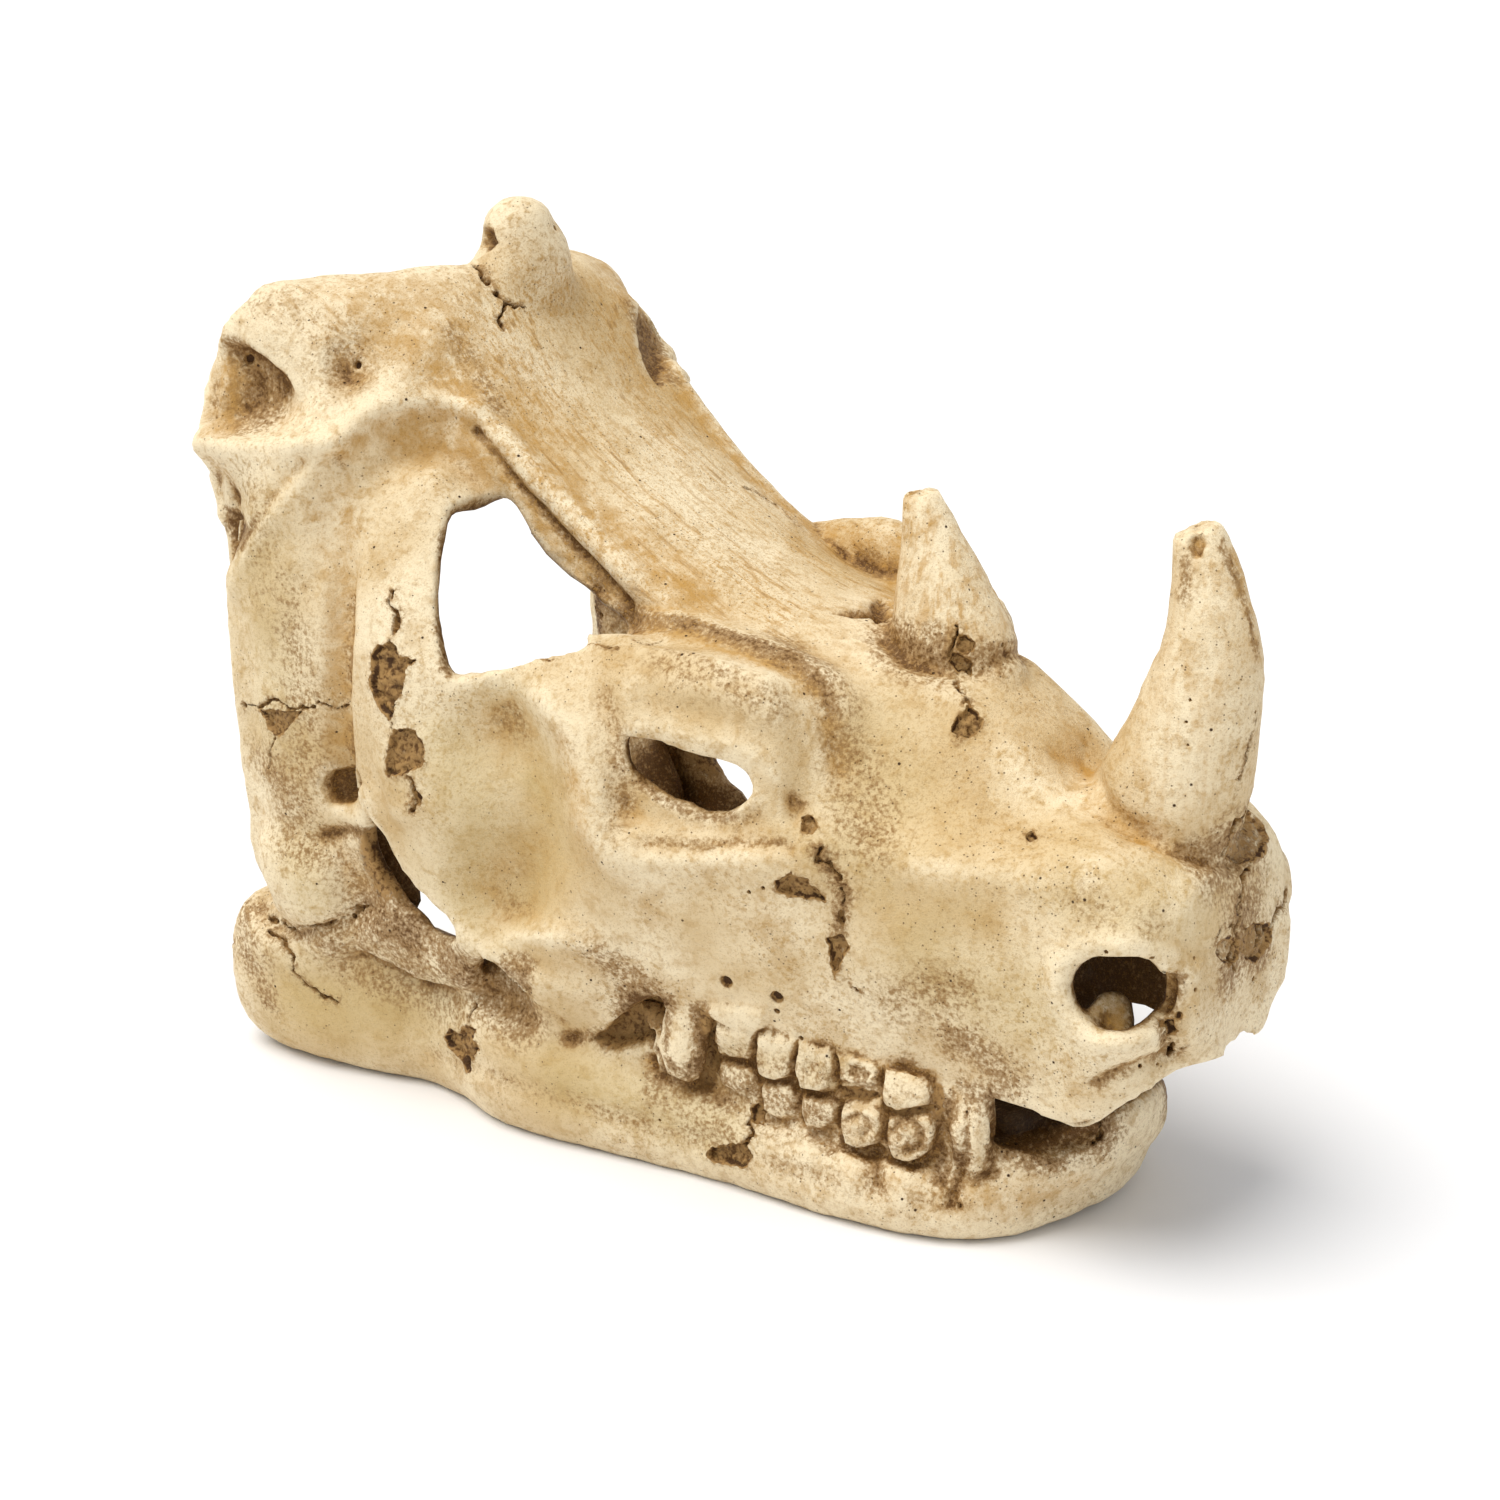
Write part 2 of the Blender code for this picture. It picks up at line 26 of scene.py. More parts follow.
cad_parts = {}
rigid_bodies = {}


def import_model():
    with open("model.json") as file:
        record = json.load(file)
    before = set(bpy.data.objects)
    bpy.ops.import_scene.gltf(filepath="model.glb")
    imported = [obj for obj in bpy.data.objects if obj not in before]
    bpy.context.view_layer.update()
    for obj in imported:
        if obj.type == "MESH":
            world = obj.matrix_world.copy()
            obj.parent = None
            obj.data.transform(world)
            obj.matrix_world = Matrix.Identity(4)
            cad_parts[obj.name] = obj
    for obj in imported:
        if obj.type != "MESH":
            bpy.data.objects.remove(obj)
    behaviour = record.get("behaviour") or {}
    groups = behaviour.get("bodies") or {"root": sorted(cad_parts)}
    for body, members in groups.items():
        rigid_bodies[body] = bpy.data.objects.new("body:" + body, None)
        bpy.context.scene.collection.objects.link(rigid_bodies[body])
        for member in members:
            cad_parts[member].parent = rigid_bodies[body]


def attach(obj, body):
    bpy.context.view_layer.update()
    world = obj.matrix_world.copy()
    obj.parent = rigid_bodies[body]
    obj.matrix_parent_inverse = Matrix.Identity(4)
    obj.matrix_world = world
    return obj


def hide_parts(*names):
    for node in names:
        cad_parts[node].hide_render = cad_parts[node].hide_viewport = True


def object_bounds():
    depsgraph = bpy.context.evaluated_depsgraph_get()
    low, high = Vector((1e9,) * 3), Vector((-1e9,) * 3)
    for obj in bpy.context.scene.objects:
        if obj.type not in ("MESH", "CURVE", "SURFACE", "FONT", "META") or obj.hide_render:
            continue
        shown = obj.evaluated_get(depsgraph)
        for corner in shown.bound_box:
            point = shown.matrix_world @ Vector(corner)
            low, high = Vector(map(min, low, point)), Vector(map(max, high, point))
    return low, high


MM = 0.001
CENTRING = np.array((-3.939, 0.026, -0.8))  # moves the body's tables onto the frame, in mm
IMAGE_SIDE = 1500
FAR_OFF = 400.0  # where the straight views' lines of sight start, in mm
MIRROR = {False: np.array((1, 1, 1)), True: np.array((1, -1, 1))}  # for a mark, and for its twin

log = logging.getLogger("skull")

Array = np.ndarray
Row = tuple[float, ...]
Rows = tuple[Row, ...]
Body = bpy.types.Object
Socket = bpy.types.NodeSocket
Triple = tuple[float, float, float]


def smooth_curve(points: Array | Rows, steps: int) -> Array:
    """Places points on a Catmull-Rom curve through the given rows.

    Args:
        points: rows of equal length, which the curve passes through.
        steps: points to each span.

    Returns:
        The rows of the curve, ends included.
    """
    rows = np.asarray(points, float)
    padded = np.vstack([2 * rows[0] - rows[1], rows, 2 * rows[-1] - rows[-2]])
    spans = (padded[:-3], padded[1:-2], padded[2:-1], padded[3:])
    before, start, end, after = (span[:, None, :] for span in spans)
    t = (np.arange(steps) / steps)[None, :, None]
    curve = 0.5 * (
        2 * start
        + (end - before) * t
        + (2 * before - 5 * start + 4 * end - after) * t**2
        + (3 * start - before - 3 * end + after) * t**3
    )
    return np.vstack([curve.reshape(-1, rows.shape[1]), rows[-1]])


def inside(outline: Row, across: Array, up: Array) -> Array:
    """Tells which points lie inside a closed outline.

    Args:
        outline: corners of the outline, as x, y, x, y and so on.
        across: first coordinate of each point.
        up: second coordinate of each point.

    Returns:
        A mask, true for the points inside.
    """
    corners = np.reshape(outline, (-1, 2)).astype(float)
    mask = np.zeros(len(across), bool)
    for (x0, z0), (x1, z1) in zip(corners, np.roll(corners, -1, axis=0)):
        if z0 != z1:
            crosses = (z0 > up) != (z1 > up)
            mask ^= crosses & (across < x0 + (up - z0) * (x1 - x0) / (z1 - z0))
    return mask


def path_distance(points: Array, path: Array | Rows) -> Array:
    """Measures how far each point is from a line of straight spans.

    Args:
        points: (n, d) points.
        path: (m, d) rows of the line.

    Returns:
        The n distances.
    """
    rows = np.asarray(path, float)
    if len(rows) == 1:
        return np.linalg.norm(points - rows[0], axis=1)
    nearest = np.full(len(points), np.inf)
    for start, end in zip(rows[:-1], rows[1:]):
        span = end - start
        share = np.clip((points - start) @ span / max(float(span @ span), 1e-9), 0, 1)
        foot = start + share[:, None] * span
        nearest = np.minimum(nearest, np.linalg.norm(points - foot, axis=1))
    return nearest


def ease(low: float, high: float, value: Array) -> Array:
    """Rises smoothly from 0 at `low` to 1 at `high`."""
    share = np.clip((value - low) / (high - low), 0, 1)
    return share * share * (3 - 2 * share)


@dataclass(frozen=True)
class Grain:
    """Smooth noise on a lattice of random values, blended between its eight corners."""

    cell: float
    seed: int
    side: int = 32

    def at(self, points: Array) -> Array:
        """Reads the noise.

        Args:
            points: (n, 3) points in millimetres.

        Returns:
            The n values, between -1 and 1.
        """
        lattice = np.random.default_rng(self.seed).uniform(-1, 1, (self.side,) * 3)
        place = points / self.cell + 1000.0
        low = np.floor(place).astype(int)
        share = place - low
        share = share * share * (3 - 2 * share)
        low %= self.side
        high = (low + 1) % self.side
        total = np.zeros(len(points))
        for corner in range(8):
            picks = [(corner >> axis) & 1 for axis in range(3)]
            index = [high[:, axis] if pick else low[:, axis] for axis, pick in enumerate(picks)]
            parts = [share[:, axis] if pick else 1 - share[:, axis] for axis, pick in enumerate(picks)]
            total += lattice[index[0], index[1], index[2]] * parts[0] * parts[1] * parts[2]
        return total

    def fractal(self, points: Array, octaves: int = 3) -> Array:
        """Sums the noise with ever finer and weaker copies of itself."""
        total = np.zeros(len(points))
        for octave in range(octaves):
            finer = replace(self, cell=self.cell / 2**octave, seed=self.seed + octave)
            total += finer.at(points) / 2**octave
        return total

    def shake(self, points: Array) -> Array:
        """Gives each point three independent values of the noise."""
        return np.stack([replace(self, seed=self.seed + 50 * axis).at(points) for axis in range(3)], axis=1)


def add_mesh(name: str, points: Array, faces: list[tuple[int, ...]] | Array) -> Body:
    """Makes an object from points in millimetres and faces.

    Args:
        name: name of the object and its mesh.
        points: (n, 3) points.
        faces: corner numbers of each face.

    Returns:
        The new object, linked to the scene.
    """
    mesh = bpy.data.meshes.new(name)
    mesh.from_pydata((points * MM).tolist(), [], [list(face) for face in faces])
    mesh.update()
    body = bpy.data.objects.new(name, mesh)
    bpy.context.scene.collection.objects.link(body)
    return body


@contextmanager
def editing(body: Body) -> Iterator[bmesh.types.BMesh]:
    """Opens an object's mesh for editing, and writes it back."""
    work = bmesh.new()
    work.from_mesh(body.data)
    work.verts.ensure_lookup_table()
    work.edges.ensure_lookup_table()
    yield work
    work.to_mesh(body.data)
    work.free()


def read_numbers(items: object, name: str, size: int, kind: type = np.float32) -> Array:
    """Reads a property of `size` numbers of all of a mesh's items, as rows."""
    flat = np.empty(len(items) * size, kind)
    items.foreach_get(name, flat)
    return flat.reshape(-1, size)


def grid_faces(grid: Array) -> Array:
    """Corner numbers of the faces between the points of a (rows, columns, 3) grid."""
    index = np.arange(grid[..., 0].size).reshape(grid.shape[:2])
    return np.stack([index[:-1, :-1], index[:-1, 1:], index[1:, 1:], index[1:, :-1]], axis=-1).reshape(-1, 4)


def apply_modifiers(body: Body) -> None:
    """Applies every modifier of an object, in order."""
    bpy.ops.object.select_all(action="DESELECT")
    body.select_set(True)
    bpy.context.view_layer.objects.active = body
    for modifier in list(body.modifiers):
        bpy.ops.object.modifier_apply(modifier=modifier.name)


@dataclass(frozen=True)
class Rod:
    """Rounded rod along rows of (x, y, z, side radius, other radius).

    A point of its side is the path's place, plus the side direction times cos(turn) and the other
    direction times sin(turn), each to the power `power`, which makes the section squarer below one.
    The other radius lies towards `reference`. Each end is closed by a rounded cap.
    """

    name: str
    path: Rows
    reference: Triple = (0.0, 0.0, 1.0)
    power: float = 1.0
    steps: int = 8
    around: int = 28
    cap: Row = (80.0, 60.0, 40.0, 20.0)  # how far the rings of a cap are tipped, in degrees

    def rings(self) -> Array:
        """Works out the (rows, around, 3) grid of the rod's surface, caps included."""
        rows = smooth_curve(self.path, self.steps)
        centre, radii = rows[:, :3], rows[:, 3:5]
        tangent = np.gradient(centre, axis=0)
        tangent /= np.linalg.norm(tangent, axis=1, keepdims=True)
        side = np.cross(tangent, np.array(self.reference))
        side /= np.linalg.norm(side, axis=1, keepdims=True)
        other = np.cross(side, tangent)
        turn = np.linspace(0, 2 * np.pi, self.around, endpoint=False)
        cosine = np.sign(np.cos(turn)) * np.abs(np.cos(turn)) ** self.power
        sine = np.sign(np.sin(turn)) * np.abs(np.sin(turn)) ** self.power
        angles = np.radians(self.cap)
        at = np.clip(np.arange(-len(angles), len(centre) + len(angles)), 0, len(centre) - 1)
        tilt = np.concatenate([-angles, np.zeros(len(centre)), angles[::-1]])
        shift = np.sin(tilt) * radii[at].min(axis=1)
        shrink = np.cos(tilt)[:, None, None]
        across = side[at][:, None, :] * radii[at, 0][:, None, None] * cosine[None, :, None]
        along = other[at][:, None, :] * radii[at, 1][:, None, None] * sine[None, :, None]
        return (centre[at] + tangent[at] * shift[:, None])[:, None, :] + shrink * (across + along)

    def build(self) -> Body:
        """Makes the closed tube of the rod's grid, facing outwards."""
        grid = self.rings()
        rows, columns = grid.shape[:2]
        index = np.arange(rows * columns).reshape(rows, columns)
        beside = np.roll(index, -1, axis=1)
        sides = np.stack([index[:-1], beside[:-1], beside[1:], index[1:]], axis=-1).reshape(-1, 4)
        faces = [*sides.tolist(), index[0, ::-1].tolist(), index[-1].tolist()]
        body = add_mesh(self.name, grid.reshape(-1, 3), faces)
        face_outwards(body)
        return body

    def mirrored(self) -> Rod:
        """The same rod on the other side of the skull."""
        path = tuple((row[0], -row[1], *row[2:]) for row in self.path)
        return replace(self, name=self.name + "_far", path=path)


def face_outwards(body: Body) -> None:
    """Turns the faces of a closed mesh outwards."""
    with editing(body) as work:
        bmesh.ops.recalc_face_normals(work, faces=work.faces)


@dataclass(frozen=True)
class FaceShell:
    """Side walls, forehead and snout: one sheet through half cross-sections, with its openings.

    The sheet's first parameter runs from the back to the nose, its second from one lower edge over
    the crown to the other. Each is a Catmull-Rom curve through the stations' points. A station is its
    x, then the distance from the middle and the height of each point. Openings are x, z, x, z and so on.
    A row of relief is a ridge, or a hollow where its height is negative: its radius, height and crispness,
    then x, distance from the middle and z of each point of its path. It falls off with the distance
    from the path as exp(-(distance / radius) ** crispness).
    """

    wall: float = 4.6
    steps_along: int = 18
    steps_around: int = 20
    nose_rings: int = 10
    border_rounds: int = 9
    openings_from: float = 30.0  # distance from the middle beyond which temple and orbit are cut
    nostril_side: float = -12.0  # y before which the near nostril is cut
    far_nostril_side: float = 15.0
    nose_middle: Triple = (119.5, 0.0, 43.5)
    nose_bulge: float = 3.0
    stations: Rows = (
        (-113, 0, 181, 25, 180, 42, 177, 53, 171, 61, 156, 61, 128, 58, 92, 56, 50),
        (-106, 0, 181, 25, 180, 42, 178, 53, 173, 61, 158, 61, 128, 59, 92, 57, 50),
        (-98, 0, 181, 25, 180, 41, 179, 52, 175, 60, 160, 61, 130, 61, 92, 59, 44),
        (-86, 0, 182, 23, 180, 38, 179, 50, 175, 60, 158, 62, 130, 62, 92, 60, 40),
        (-74, 0, 182, 20, 181, 34, 178, 46, 171, 57, 152, 61, 124, 62, 90, 58, 36),
        (-65, 0, 178, 18, 178, 30, 173, 41, 164, 52, 147, 60, 118, 62, 88, 56, 33),
        (-56, 0, 169, 16, 168, 28, 164, 38, 156, 50, 139, 61, 115, 62, 86, 55, 31),
        (-46, 0, 157, 15, 156, 29, 153, 38, 147, 50, 132, 62, 110, 63, 80, 55, 30),
        (-36, 0, 148, 15, 147, 29, 144, 37, 137, 49, 124, 61, 104, 63, 76, 55, 31),
        (-24, 0, 140, 14, 139, 28, 135, 36, 127, 46, 118, 60, 102, 62, 76, 56, 32),
        (-12, 0, 133, 14, 132, 27, 128, 35, 120, 44, 114, 57, 101, 61, 74, 53, 31),
        (0, 0, 127, 14, 126, 26, 122, 35, 117, 44, 114, 53, 100, 58, 74, 48, 32),
        (12, 0, 122, 13, 121, 24, 117, 35, 116, 44, 112, 50, 98, 55, 73, 45, 33),
        (26, 0, 118, 13, 117, 23, 114, 34, 116, 43, 111, 48, 95, 51, 72, 42, 33),
        (40, 0, 115, 12, 114, 21, 111, 31, 112, 40, 106, 45, 90, 47, 68, 39, 33),
        (52, 0, 113, 12, 112, 20, 108, 27, 103, 34, 95, 40, 80, 42, 62, 36, 33),
        (64, 0, 110, 11, 109, 18, 104, 25, 98, 32, 88, 37, 76, 38, 58, 33, 33),
        (76, 0, 102, 11, 101, 18, 97, 25, 91, 31, 84, 35, 73, 35, 56, 31, 33),
        (88, 0, 93, 11, 92, 18, 90, 25, 86, 30, 80, 33, 70, 33, 54, 30, 33),
        (98, 0, 92, 11, 91, 19, 89, 26, 85, 30, 78, 32, 69, 32, 54, 29, 32),
        (106, 0, 91, 10, 90, 19, 88, 26, 84, 30, 77, 32, 68, 32, 54, 29, 33),
        (113, 0, 87, 10, 86, 18, 84, 25, 80, 29, 74, 32, 66, 31, 55, 24, 39),
        (118, 0, 82, 8, 82, 15, 80, 20, 77, 23, 71, 24, 64, 22, 54, 15, 44),
    )
    temporal_window: Row = (
        -32, 103.5, -39, 117, -42, 127, -43.5, 136.5, -39.5, 136, -33, 129, -25, 123, -16, 117.5, -8, 113.5,
        -6, 112, -10, 110.5, -20, 107,
    )  # fmt: skip
    orbit: Row = (
        8.5, 98, 17, 97, 26, 95.5, 32, 95, 36.5, 93.5, 38, 90.5, 35.5, 86.5, 32, 84, 28, 83, 21, 85, 15, 88,
        11, 92,
    )  # fmt: skip
    cheek_slit: Row = (
        -61, 67, -60, 60, -58, 54.5, -54.5, 49.8, -50, 46.2, -43.5, 43, -36, 43, -32.5, 45.5, -38, 49.8, -44,
        53, -48, 57, -51.5, 62, -55, 67, -58, 68,
    )  # fmt: skip
    cheek_recess: Row = (-30, 44, -22, 39.5, -14.5, 34, -8, 31, -8, 18, -22, 18, -30, 27)
    nostril: Row = (
        100.5, 61, 102.5, 66, 106, 69, 111, 70.5, 115.5, 70, 119, 66, 119, 58, 116, 54, 108, 52.5, 103, 55.5,
    )  # fmt: skip
    far_nostril: Row = (95, 61, 98, 66, 102, 67, 104, 63, 103, 57, 98, 55)
    crest_edge: Row = (0, -67, 10, -72, 24, -80, 36, -90, 46, -99, 54, -106, 60, -113, 90, -113)
    rear_edge: Row = (
        40, -99, 60, -100, 90, -101, 108, -101, 119, -99.5, 128, -104.5, 136, -106, 145, -106.5, 158, -105.5,
        168, -103, 176, -98, 190, -98,
    )  # fmt: skip
    relief: Rows = (
        (4.5, 2.5, 2, -97, 62, 117, -90, 63, 125, -79, 64, 134, -71, 61, 141, -67, 57, 146),
        (4, -2.5, 2, -68, 60, 134, -69, 61, 128, -73, 62, 121),
        (3.2, 2, 2, -63, 55, 146, -60, 50, 152, -57, 44, 155, -51, 38, 156, -47, 34, 154, -41, 31, 149, -29,
         30, 139, -18, 30, 130, -9, 31, 124),
        (5, 0.9, 2, 13, 30, 118, 21, 27, 116, 33, 29, 115, 42, 32, 112, 47, 33, 106, 51, 36, 97, 55, 42, 85),
        (5, -6, 2, -59, 55, 144, -56, 48, 148, -51, 42, 149, -46, 40, 146, -39, 37, 139, -30, 35, 132, -19,
         35, 125, -7, 36, 118),
        (6, 2, 2, -63, 54, 149, -63, 47, 157, -61, 40, 162, -60, 33, 168),
        (3.2, -4.5, 2, -62, 60, 143, -62, 60, 137, -63, 61, 124, -62, 61, 111, -63, 61, 98, -64, 61, 84, -65,
         60, 72),
        (3.5, 2.5, 2, -104, 62, 143, -92, 63, 145, -82, 62, 146, -72, 58, 148, -66, 55, 149),
        (9.5, -9.5, 2.6, -97, 60, 158, -85, 58, 156), (5, -3, 2, -70, 49, 164),
        (6, -5, 2, -103, 61, 134, -97, 61, 130, -100, 62, 122),
        (8, 3, 2, 11, 48, 106, 25, 46, 108, 36, 43, 106),
        (4, -2.2, 2, -4, 36, 117, 8, 39, 116, 17, 37, 116, 29, 36, 115, 37, 35, 113, 42, 36, 109, 45, 37, 102,
         47, 38, 93, 49, 42, 85),
        (13, -6.5, 2.3, -19, 58, 91, -15, 57, 80, -15, 57, 68, -20, 57, 60),
        (5.5, 2.6, 2, -10, 57, 103, -2, 56, 98, 3, 56, 90, 4, 57, 80),
        (4.5, 1.6, 2, 10, 57, 74, 19, 54, 77, 29, 51, 78, 41, 47, 79, 50, 43, 81),
        (4.5, 1.5, 2, 54, 43, 84, 60, 38, 82, 70, 35, 80, 86, 32, 80, 103, 28, 81),
        (9, -2, 2, 55, 30, 98, 66, 28, 92, 80, 25, 90),
        (3.5, -2.5, 2, 11, 54, 84, 18, 53, 81, 28, 51, 81, 40, 47, 82),
        (4, 1.5, 2, -18, 59, 50, -8, 56, 50, 3, 53, 50), (4, -2, 2, -68, 61, 75),
        (4, -2, 2, 86, 3, 95, 97, 13, 91, 105, 16, 89),
    )  # fmt: skip

    def grid(self) -> Array:
        """Works out the (along, around, 3) grid of the sheet, with its relief raised and pressed in."""
        halves = [[(row[0], *pair) for pair in zip(row[1::2], row[2::2])] for row in self.stations]
        profiles = np.array(halves, float)
        lines = [smooth_curve(profiles[:, j], self.steps_along) for j in range(profiles.shape[1])]
        along = np.array(lines).transpose(1, 0, 2)
        rows = np.concatenate([along[:, :0:-1] * (1, -1, 1), along], axis=1)
        dense = np.array([smooth_curve(row, self.steps_around) for row in rows])
        front = dense[-1]
        shares = np.linspace(0.1, 0.98, self.nose_rings)[:, None, None]
        bulge = np.sin(np.pi * shares) * np.array((self.nose_bulge, 0, 0))
        nose = front + (np.array(self.nose_middle) - front) * shares + bulge
        return self.relieved(np.concatenate([dense, nose]))

    def relieved(self, points: Array) -> Array:
        """Moves the sheet's points along its normals by the sum of its relief."""
        normals = np.cross(np.gradient(points, axis=1), np.gradient(points, axis=0))
        normals /= np.linalg.norm(normals, axis=2, keepdims=True) + 1e-9
        outward = (points - (0, 0, 90)) * (0, 1, 1)
        normals *= np.sign((normals * outward).sum(axis=2, keepdims=True))
        folded = points.reshape(-1, 3).copy()
        folded[:, 1] = abs(folded[:, 1])
        height = np.zeros(len(folded))
        for radius, rise, crispness, *path in self.relief:
            gap = path_distance(folded, np.reshape(path, (-1, 3))) / radius
            height += rise * np.exp(-(gap**crispness))
        return points + normals * height.reshape(points.shape[:2])[..., None]

    def left_out(self, centres: Array) -> Array:
        """Tells which faces lie in an opening or behind the rear edges.

        Args:
            centres: (n, 3) middles of the faces.

        Returns:
            A mask, true for the faces to leave out.
        """
        x, y, z = centres.T
        gone = (inside(self.temporal_window, x, z) | inside(self.orbit, x, z)) & (abs(y) > self.openings_from)
        gone |= inside(self.nostril, x, z) & (y < self.nostril_side)
        gone |= inside(self.far_nostril, x, z) & (y > self.far_nostril_side)
        gone |= inside(self.cheek_slit, x, z) | inside(self.cheek_recess, x, z)
        gone |= x < np.interp(abs(y), self.crest_edge[::2], self.crest_edge[1::2])
        gone |= x < np.interp(z, self.rear_edge[::2], self.rear_edge[1::2])
        return gone

    def build(self) -> Body:
        """Makes the walled shell."""
        grid = self.grid()
        faces = grid_faces(grid)
        points = grid.reshape(-1, 3)
        kept = faces[~self.left_out(points[faces].mean(axis=1))]
        points = evened_borders(points, kept, self.border_rounds)
        shell = add_mesh("shell", points, kept.tolist())
        return walled(shell, self.wall, -1.0)


def evened_borders(points: Array, faces: Array, rounds: int) -> Array:
    """Takes the steps out of the borders that a cut left.

    Args:
        points: (n, 3) points of the sheet.
        faces: (m, 4) corner numbers.
        rounds: how often each border point moves halfway to the middle of its neighbours.

    Returns:
        The moved points.
    """
    edges = np.sort(np.concatenate([faces[:, [0, 1]], faces[:, [1, 2]], faces[:, [2, 3]], faces[:, [3, 0]]]))
    pairs, count = np.unique(edges, axis=0, return_counts=True)
    border = pairs[count == 1]
    moved = points.copy()
    ends = np.concatenate([border, border[:, ::-1]])
    number = np.bincount(ends[:, 0], minlength=len(points))
    edge = number > 0
    for _ in range(rounds):
        sums = [np.bincount(ends[:, 0], moved[ends[:, 1], axis], len(points)) for axis in range(3)]
        middle = np.stack(sums, axis=1)[edge] / number[edge, None]
        moved[edge] = (moved[edge] + middle) / 2
    return moved


def walled(sheet: Body, wall: float, offset: float) -> Body:
    """Gives a sheet its wall, inwards at offset -1 and both ways at 0."""
    with editing(sheet) as work:
        bmesh.ops.delete(work, geom=[vert for vert in work.verts if not vert.link_faces], context="VERTS")
        bmesh.ops.recalc_face_normals(work, faces=work.faces)
    thick = sheet.modifiers.new("wall", "SOLIDIFY")
    thick.thickness = wall * MM
    thick.offset = offset
    return sheet


@dataclass(frozen=True)
class BackWall:
    """Hollowed plate that hangs from the crest: a sheet through three curved rows, with a wall."""

    wall: float = 4.6
    steps_across: int = 8
    steps_down: int = 14
    rows: tuple[Rows, ...] = (
        ((-67, 0, 179), (-71, 12, 179), (-79, 25, 178), (-90, 37, 177), (-99, 47, 173), (-102, 56, 162)),
        ((-62, 0, 158), (-65, 12, 158), (-72, 24, 157), (-84, 35, 156), (-95, 46, 154), (-102, 58, 148)),
        ((-66, 0, 136), (-69, 12, 135), (-76, 24, 132), (-88, 38, 127), (-98, 50, 122), (-102, 57, 114)),
    )

    def build(self) -> Body:
        """Makes the plate from its grid."""
        halves = np.array(self.rows, float)
        full = np.concatenate([halves[:, :0:-1] * (1, -1, 1), halves], axis=1)
        lines = np.array([smooth_curve(row, self.steps_across) for row in full])
        columns = [smooth_curve(lines[:, j], self.steps_down) for j in range(lines.shape[1])]
        grid = np.stack(columns, axis=1)
        plate = add_mesh("back_wall", grid.reshape(-1, 3), grid_faces(grid))
        return walled(plate, self.wall, 0.0)


@dataclass(frozen=True)
class SideFrame:
    """Pillar, bar and inner walls of both sides."""

    rods: tuple[Rod, ...] = (
        Rod("pillar", ((-84, -54, 136, 7, 13), (-84, -56, 118, 7, 15), (-83, -56, 95, 7, 15),
                       (-82, -56, 75, 7, 15), (-81, -55, 60, 8, 15), (-80, -54, 46, 9, 15),
                       (-79, -52, 34, 8, 12)), (1, 0, 0)),
        Rod("pillar_foot", ((-82, -56, 60, 7, 13), (-81, -57, 52, 8.5, 15), (-80, -56, 43, 8, 14)),
            (1, 0, 0)),
        Rod("pillar_web", ((-80, -50, 60, 4, 6), (-74, -46, 54, 4, 6.5), (-69, -45, 49, 4, 6.5),
                           (-65, -45, 44.5, 3.5, 5), (-64, -45, 40.5, 2.6, 3.6)), (1, 0, 0)),
        Rod("bar", ((-50, -51, 126, 2, 3), (-49, -55, 117, 4, 7), (-48, -58, 107, 5, 9),
                    (-47, -59, 92, 5, 9), (-42, -59, 74, 5, 9)), (1, 0, 0)),
        Rod("web", ((-17, -50, 38, 3, 4), (-15, -49, 26, 3, 4)), (1, 0, 0)),
        Rod("cheek_wall", ((-34, -47, 33, 4, 7), (-20, -46, 31, 4, 8), (-6, -44, 29, 5, 8),
                           (14, -36, 28, 4, 9))),
    )  # fmt: skip

    def build(self) -> list[Body]:
        """Makes the rods and their mirror images."""
        return [twin.build() for rod in self.rods for twin in (rod, rod.mirrored())]


@dataclass(frozen=True)
class Jaw:
    """Lower jaw: its two branches, the lip of its chin and the floor between them."""

    branch: Rod = Rod(
        "jaw_branch",
        ((-101, -48.5, 20, 13, 19.5), (-86, -48, 20, 13, 20), (-70, -45, 18.5, 12, 18.5),
         (-56, -42, 17.5, 10, 17.5), (-42, -43, 17, 9.5, 17), (-27, -46, 15.5, 9.5, 16),
         (-3, -42, 13, 9.5, 13.5), (21, -36.5, 10, 9.5, 10.5), (41, -34.5, 8.5, 9.5, 9),
         (60, -32, 8.3, 9.5, 8.5), (76, -26, 8.8, 9.5, 9), (87, -13, 10.5, 8, 9.5), (91, 0, 12, 8, 9.5)),
        power=0.78, around=44,
    )  # fmt: skip
    lip: Rod = Rod(
        "chin_lip",
        ((70, -26, 13, 4, 4.5), (82, -23, 15, 3.5, 4.5), (92, -18, 19, 3, 4.5),
         (98, -10, 23, 3, 4.5), (100, 0, 25, 3, 4.5)),
    )  # fmt: skip
    chin: Rod = Rod(
        "chin",
        ((72, -27, 11, 6, 7), (84, -22.5, 14, 5.5, 7.5), (92, -16, 17, 5, 7.5),
         (96.5, -8.5, 19, 5, 7), (97.5, 0, 20, 5, 7)),
    )  # fmt: skip
    floor: Rod = Rod(
        "mouth_floor",
        ((24, 0, 9, 28, 3.5), (50, 0, 9, 27, 3.5), (74, 0, 12, 22, 5), (86, 0, 17, 15, 6),
         (92, 0, 19.5, 10, 5)),
    )  # fmt: skip

    def build(self) -> list[Body]:
        """Makes the branches, the lip and the floor."""
        sides = [twin.build() for rod in (self.branch, self.lip, self.chin) for twin in (rod, rod.mirrored())]
        return [*sides, self.floor.build()]


